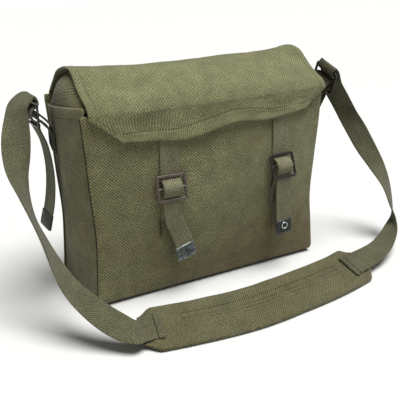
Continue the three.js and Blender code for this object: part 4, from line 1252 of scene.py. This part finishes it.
def pad_mesh():
    verts, uvs, pins = [], [], []
    for i in range(PAD_ROWS + 1):
        share = i / PAD_ROWS
        pad = pad_at(share)
        near_end = 1 - ease(min(share, 1 - share), 0, 0.1)
        for s, t, groove in pad_section(share):
            fold = near_end * GATHER_FOLD * math.sin(s * 13 + (2 if share < 0.5 else 0)) * (1 - abs(s) ** 4)
            point = (pad["p"] + pad["across"] * (s * pad["wide"] / 2)
                     + pad["face"] * (t * pad["thick"] / 2 + fold))
            point.z += unevenness(point, 30, 0.7, 12) * (1 - near_end)
            point.z = max(point.z, FLOOR_CLEAR)
            verts.append(point)
            uvs.append((s * PAD_WIDTH / 2, share * pad_length[-1]))
            pins.append(max(groove, near_end, 1 - ease(1 - abs(s), 0.02, 0.1)))
    around = 2 * PAD_SIDE
    faces = ring_faces(PAD_ROWS + 1, around, closed=False)
    faces += [tuple(range(around)), tuple(PAD_ROWS * around + k for k in range(around))]
    mesh = bpy.data.meshes.new("shoulder_pad_sleeve")
    mesh.from_pydata([v * MM for v in verts], [], faces)
    face_outwards(mesh)
    layer = mesh.uv_layers.new(name="cloth")
    for loop in mesh.loops:
        layer.data[loop.index].uv = Vector(uvs[loop.vertex_index]) * MM
    mesh.shade_smooth()
    return mesh, pins


def swell(piece, pins, pressure, frames, cap):
    """Lets the piece's cloth fill out. pins hold points where they are, and no point moves past cap mm."""
    group = piece.vertex_groups.new(name="sewn")
    for index, weight in enumerate(pins):
        group.add([index], min(weight, 1), "REPLACE")
    rest = [v.co.copy() for v in piece.data.vertices]
    cloth = piece.modifiers.new("cloth", "CLOTH")
    cloth.settings.use_pressure = True
    cloth.settings.uniform_pressure_force = pressure
    cloth.settings.effector_weights.gravity = 0
    cloth.settings.vertex_group_mass = "sewn"
    cloth.settings.quality = 6
    cloth.point_cache.frame_start, cloth.point_cache.frame_end = 1, frames
    scene = bpy.context.scene
    for number in range(1, frames + 1):
        scene.frame_set(number)
    moved = piece.evaluated_get(bpy.context.evaluated_depsgraph_get()).to_mesh()
    places = [v.co.copy() for v in moved.vertices]
    piece.modifiers.remove(cloth)
    piece.vertex_groups.remove(group)
    most = 0
    for v, start, place in zip(piece.data.vertices, rest, places):
        step = place - start
        most = max(most, step.length)
        if step.length > cap * MM:
            step = step.normalized() * cap * MM
        v.co = start + step
        v.co.z = max(v.co.z, FLOOR_CLEAR * MM)
    scene.frame_set(1)
    print(piece.name, "moved at most", round(most / MM, 2), "mm before the cap")


mesh, pad_pins = pad_mesh()
pad_sleeve = object_of("shoulder_pad_sleeve", mesh, pad_canvas)
swell(pad_sleeve, pad_pins, pressure=PAD_PRESSURE, frames=CLOTH_FRAMES, cap=SWELL_CAP)

# %% [markdown]
# Stitches repeat by the hundred along the hems and seams. A small Geometry Nodes tree lays them: it
# walks along a curve in even steps, puts one short thread at each and turns it along the curve.

# %% A tree that sews along curves
sewing = bpy.data.node_groups.new("row of stitches", "GeometryNodeTree")
for socket, kind in (("Geometry", "NodeSocketGeometry"), ("Spacing", FLOAT), ("Length", FLOAT),
                     ("Thickness", FLOAT), ("Thread", "NodeSocketMaterial")):
    sewing.interface.new_socket(name=socket, in_out="INPUT", socket_type=kind)
sewing.interface.new_socket(name="Geometry", in_out="OUTPUT", socket_type="NodeSocketGeometry")
sew_in, sew_out = sewing.nodes.new("NodeGroupInput"), sewing.nodes.new("NodeGroupOutput")
steps = make(sewing, "GeometryNodeResampleCurve",
             {"Curve": sew_in.outputs["Geometry"], "Length": sew_in.outputs["Spacing"]}, mode="LENGTH")
turn = make(sewing, "FunctionNodeAlignRotationToVector",
            {"Vector": make(sewing, "GeometryNodeInputTangent").outputs[0]}, axis="Z")
bead = make(sewing, "GeometryNodeMeshUVSphere", {"Segments": 6, "Rings": 4, "Radius": 0.5})
size = make(sewing, "ShaderNodeCombineXYZ", {0: sew_in.outputs["Thickness"], 1: sew_in.outputs["Thickness"],
                                             2: sew_in.outputs["Length"]})
laid = make(sewing, "GeometryNodeInstanceOnPoints",
            {"Points": steps.outputs[0], "Instance": bead.outputs[0], "Rotation": turn.outputs[0],
             "Scale": size.outputs[0]})
real = make(sewing, "GeometryNodeRealizeInstances", {0: laid.outputs[0]})
coloured = make(sewing, "GeometryNodeSetMaterial",
                {"Geometry": real.outputs[0], "Material": sew_in.outputs["Thread"]})
sewing.links.new(coloured.outputs[0], sew_out.inputs[0])


def sew(name, rows, material, spacing=3.4, length=2.5, thickness=0.85):
    """One mesh of stitches along several rows of points, in mm."""
    curve = bpy.data.curves.new(name, "CURVE")
    curve.dimensions = "3D"
    for row in rows:
        spline = curve.splines.new("POLY")
        spline.points.add(len(row) - 1)
        for point, place in zip(spline.points, row):
            point.co = (*(place * MM), 1)
    guide = bpy.data.objects.new(f"{name}_guide", curve)
    bpy.context.collection.objects.link(guide)
    modifier = guide.modifiers.new("sew", "NODES")
    modifier.node_group = sewing
    sockets = {item.name: item.identifier for item in sewing.interface.items_tree if item.in_out == "INPUT"}
    for socket, value in (("Spacing", spacing * MM), ("Length", length * MM), ("Thickness", thickness * MM),
                          ("Thread", material)):
        modifier[sockets[socket]] = value
    seen = guide.evaluated_get(bpy.context.evaluated_depsgraph_get())
    mesh = bpy.data.meshes.new_from_object(seen)
    bpy.data.objects.remove(guide)
    mesh.name = name
    mesh.shade_smooth()
    piece = bpy.data.objects.new(name, mesh)
    bpy.context.collection.objects.link(piece)
    print(name, len(mesh.polygons), "faces")
    return piece


def along_grid(grid, half, picks, lift=0.25):
    """Points just above a cloth's outer face at chosen (row, column) places, which may be fractions."""
    normals = grid_normals(grid)
    line = []
    for i, j in picks:
        a, b = min(int(i), len(grid) - 2), min(int(j), len(grid[0]) - 2)
        s, t = i - a, j - b
        p = lerp(lerp(grid[a][b], grid[a + 1][b], s), lerp(grid[a][b + 1], grid[a + 1][b + 1], s), t)
        line.append(p + normals[a][b] * (half + lift))
    return line


def outer_sign(grid, outward):
    """1 if the grid's normals point the given way in its middle, otherwise -1."""
    normals = grid_normals(grid)
    return 1 if normals[len(grid) // 2][len(grid[0]) // 2].dot(outward) > 0 else -1


# %% The lid's hem stitches
def at_distance(line, distance, last):
    """The place along a list of grid points, from its end, at a distance in mm."""
    total = 0
    for k in range(last):
        step = (line(k + 1) - line(k)).length
        if total + step >= distance:
            return k + (distance - total) / step
        total += step
    return last


def lid_hem_rows():
    grid = lid_cloth_grid
    rows, cols = len(grid) - 1, len(grid[0]) - 1
    sign = outer_sign(grid, Vector((0, -0.3, 1)))
    front = []
    for j in range(5, cols - 4):
        up = at_distance(lambda k: grid[rows - k][j], FRONT_HEM - RIM_SEWN, rows)
        front.append((rows - up, j))
    sides = []
    for flip in (False, True):
        side = []
        for i in range(2, rows - 11):
            line = (lambda k: grid[i][cols - k]) if flip else (lambda k: grid[i][k])
            inward = at_distance(line, SIDE_HEM - RIM_SEWN, cols)
            side.append((i, cols - inward if flip else inward))
        sides.append(side)
    return [along_grid(grid, sign * CLOTH / 2 * 0.95, picks, sign * 0.1) for picks in [front, *sides]]


stitches = {"lid_stitches": sew("lid_stitches", lid_hem_rows(), thread, thickness=1.15)}

# %% [markdown]
# Each gusset has one row of stitches in its hem. Along both of its edges, where it is sewn to the long
# panel, a close row of thick dark thread paints the shade in the seam's groove.

# %% The gussets' stitches and the painted shade of their seams
def gusset_rows(side):
    grid = gussets[side]
    rows, cols = len(grid) - 1, len(grid[0]) - 1
    sign = outer_sign(grid, Vector((side, 0, 0)))
    picks = [(rows - at_distance(lambda k: grid[rows - k][j], HEM_SEWN, rows), j) for j in range(1, cols)]
    return [along_grid(grid, sign * CLOTH / 2 * 0.98, picks, sign * 0.1)]


def seam_shade_rows(side):
    """The painted shade line along the seam between a gusset and the long panel: down the front edge and up
    the back edge.
    """
    grid = gussets[side]
    cols = len(grid[0]) - 1
    out = Vector((side * (CLOTH / 2 + 0.2), 0, 0))
    return [[grid[i][j] + out for i in range(3, len(grid) - 3)] for j in (1, cols - 1)]


stitches["gusset_stitches"] = sew("gusset_stitches", gusset_rows(-1) + gusset_rows(1), thread)
# The seam lines are close rows of thick dark beads: painted shade in the grooves where each gusset meets the
# long panel.
stitches["gusset_seam_shade_lines"] = sew("gusset_seam_shade_lines", seam_shade_rows(-1) + seam_shade_rows(1), dark_thread_and_shade, 2.6, 3, 1.3)

# %% [markdown]
# The left front tab is worn: some of its yarns have come loose at one edge and hang down. Each strand
# is a short curve, laid with the same tree as the stitches but with the beads close together.

# %% Frayed threads
STRANDS, STRAND_STEP, FRAY_TOP, FRAY_EDGE = 9, 1.7, 13, 11.5
FRAY_SHORT, FRAY_MORE, FRAY_SWING = 7, 5, 2.5


def frayed_rows(root, across):
    rows = []
    for strand in range(STRANDS):
        lean, long = math.sin(strand * 2.3), FRAY_SHORT + FRAY_MORE * abs(math.sin(strand * 1.7))
        start = root - across * (FRAY_EDGE + strand % 3) + Vector((0, -0.6, FRAY_TOP - strand * STRAND_STEP))
        rows.append([start + Vector((-lean * FRAY_SWING * t * t - 1.2 * t,
                                     -0.5 - 1.2 * math.sin(t * 3 + strand), -long * t))
                     for t in (0, 0.25, 0.5, 0.75, 1)])
    return rows


frays = frayed_rows(*front_tabs["left"][-1])
stitches["frayed_threads"] = sew("frayed_threads", frays, thread, 1.6, 2.3, 0.7)

# %% [markdown]
# The tabs, the pad and the strap ends are sewn too. A box of stitches holds each tab, a row holds each
# end of the strap over its fold, a dark row just past that end paints its shadow, and the pad carries
# seven long rows.

# %% Stitches of the tabs, the pad and the strap ends
BOX_INSET, BOX_FAR = 2.5, 9.5
PAD_STITCH_STEPS, PAD_STITCHED, PAD_SUNK = 80, range(12, 69), 0.68
# The first end row lies just past the strap's end and is a dark line of painted shadow. The second is
# stitching over the fold.
END_ROWS, END_HALF = (-1.2, 6.6), 15.5


def tab_box(chape, width, thickness, outward):
    """A box of stitches near the end of a tab's outer layer, from its last stations."""
    before, (end, across) = chape[-2][0], chape[-1]
    along = (end - before).normalized()
    face = across.cross(along).normalized()
    face = face if face.dot(outward) > 0 else -face
    lift = face * (thickness / 2 + 0.1)
    reach = width / 2 - BOX_INSET
    low, high = end - along * BOX_INSET, end - along * BOX_FAR
    corners = [low - across * reach, low + across * reach, high + across * reach, high - across * reach]
    return [[a + lift, (a + b) / 2 + lift, b + lift] for a, b in zip(corners, corners[1:] + corners[:1])]


def pad_rows():
    """The long rows of stitches in the pad's channels, a little sunk into its face."""
    rows = []
    for channel in CHANNELS:
        row = []
        for k in PAD_STITCHED:
            pad = pad_at(k / PAD_STITCH_STEPS)
            crown = (1 - abs(channel) ** CROWN_POWER) ** 0.5 * PAD_SUNK
            row.append(pad["p"] + pad["across"] * (channel * pad["wide"] / 2)
                       + pad["face"] * (pad["thick"] / 2 * crown + 0.25))
        rows.append(row)
    return rows


def strap_end_rows(row):
    """Two rows across the strap's end on the pad: a dark line of painted shadow just past it and stitches
    over its fold.
    """
    stations = tab_stations(row)
    before, (end, across) = stations[-2][0], stations[-1]
    along = (end - before).normalized()
    face = pad_at(row["tab"][1])["face"]
    rows = []
    for back in END_ROWS:
        middle = end - along * back
        lift = face * (WIDE_THICK / 2 * (1 if back > 0 else 0.5) + 0.15)
        rows.append([middle - across * END_HALF + lift, middle + lift, middle + across * END_HALF + lift])
    return rows


box_rows = []
for tabs, width, thickness in ((front_tabs, NARROW_WEB, NARROW_THICK), (side_tabs, WIDE_WEB, WIDE_THICK)):
    for name, chape in tabs.items():
        outward = Vector((0, -1, 0)) if tabs is front_tabs else Vector((-1 if name == "left" else 1, 0, 0))
        box_rows += tab_box(chape, width, thickness, outward)
stitches["tab_stitches"] = sew("tab_stitches", box_rows, dark_thread_and_shade, 2.6, 2, 0.8)
stitches["pad_stitches"] = sew("pad_stitches", pad_rows(), dark_thread_and_shade, 3.2, 2.4, 0.75)
end_rows = strap_end_rows(SHOULDERS[0]) + strap_end_rows(SHOULDERS[1])
# The row just past each strap end paints its shadow on the pad.
stitches["strap_end_stitches_and_shadow"] = sew("strap_end_stitches_and_shadow", end_rows, dark_thread_and_shade, 2.4, 2.6, 1.2)

# %% [markdown]
# A plain pale floor carries the bag. It isn't part of the object.

# %% The floor
FLOOR_HALF, FLOOR_DROP, FLOOR_TINT = 4, -0.0004, (0.58, 0.58, 0.572, 1)
floor_corners = [(FLOOR_HALF * x, FLOOR_HALF * y, FLOOR_DROP)
                 for x, y in ((-1, -1), (1, -1), (1, 1), (-1, 1))]
floor_mesh = bpy.data.meshes.new("floor")
floor_mesh.from_pydata(floor_corners, [], [(0, 1, 2, 3)])
floor_material, _, floor_shader = principled("pale_floor")
floor_shader.inputs["Base Color"].default_value = FLOOR_TINT
floor_shader.inputs["Roughness"].default_value = 0.8
object_of("floor", floor_mesh, floor_material)

# %% [markdown]
# Each new piece hides the CAD node it stands for, and rides on the one body, the root. The
# sheets of cloth give the size they were cut to.

# %% What each piece stands for
cloth_nodes = {
    "bag_panel": "main_panel", "gusset_cloth_left": "gusset_left", "gusset_cloth_right": "gusset_right",
    "lid_cloth": "lid", "ear_left": "weather_flap_left", "ear_right": "weather_flap_right",
    "shoulder_pad_sleeve": "shoulder_pad",
}
for piece_name, node in cloth_nodes.items():
    pieces[node] = bpy.data.objects[piece_name]
for node, made in pieces.items():
    parts = made if isinstance(made, list) else [made]
    slot = "enamel" if "buckle" in node else "steel" if "tip" in node else "webbing"
    slot = "canvas" if node in cloth_nodes.values() else slot
    for part in parts:
        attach(part, "root")
    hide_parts(node)
for piece in stitches.values():
    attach(piece, "root")


def cut_size(grid):
    """The flat width and length of a sheet, in metres, and its area."""
    wide = max(running_length(row)[-1] for row in grid)
    tall = max(running_length([row[j] for row in grid])[-1] for j in range(len(grid[0])))
    area = 0
    for a, b in zip(grid, grid[1:]):
        for j in range(len(a) - 1):
            area += ((b[j] - a[j + 1]).cross(b[j + 1] - a[j])).length / 2
    return (wide * MM, tall * MM), area * MM * MM


SHEETS = [
    ("bag_panel", panel_grid(), "stretched", []),
    ("lid_cloth", lid_cloth_grid, "draped", ["ear_left", "ear_right"]),
    ("gusset_cloth_left", gussets[-1], "stretched", []), ("gusset_cloth_right", gussets[1], "stretched", []),
    ("ear_left", ear_grid(-1), "folded", []), ("ear_right", ear_grid(1), "folded", []),
]
for name, grid, held, rests in SHEETS:
    flat, area = cut_size(grid)
    print(name, "cut", [round(s, 3) for s in flat], "area", round(area, 4))
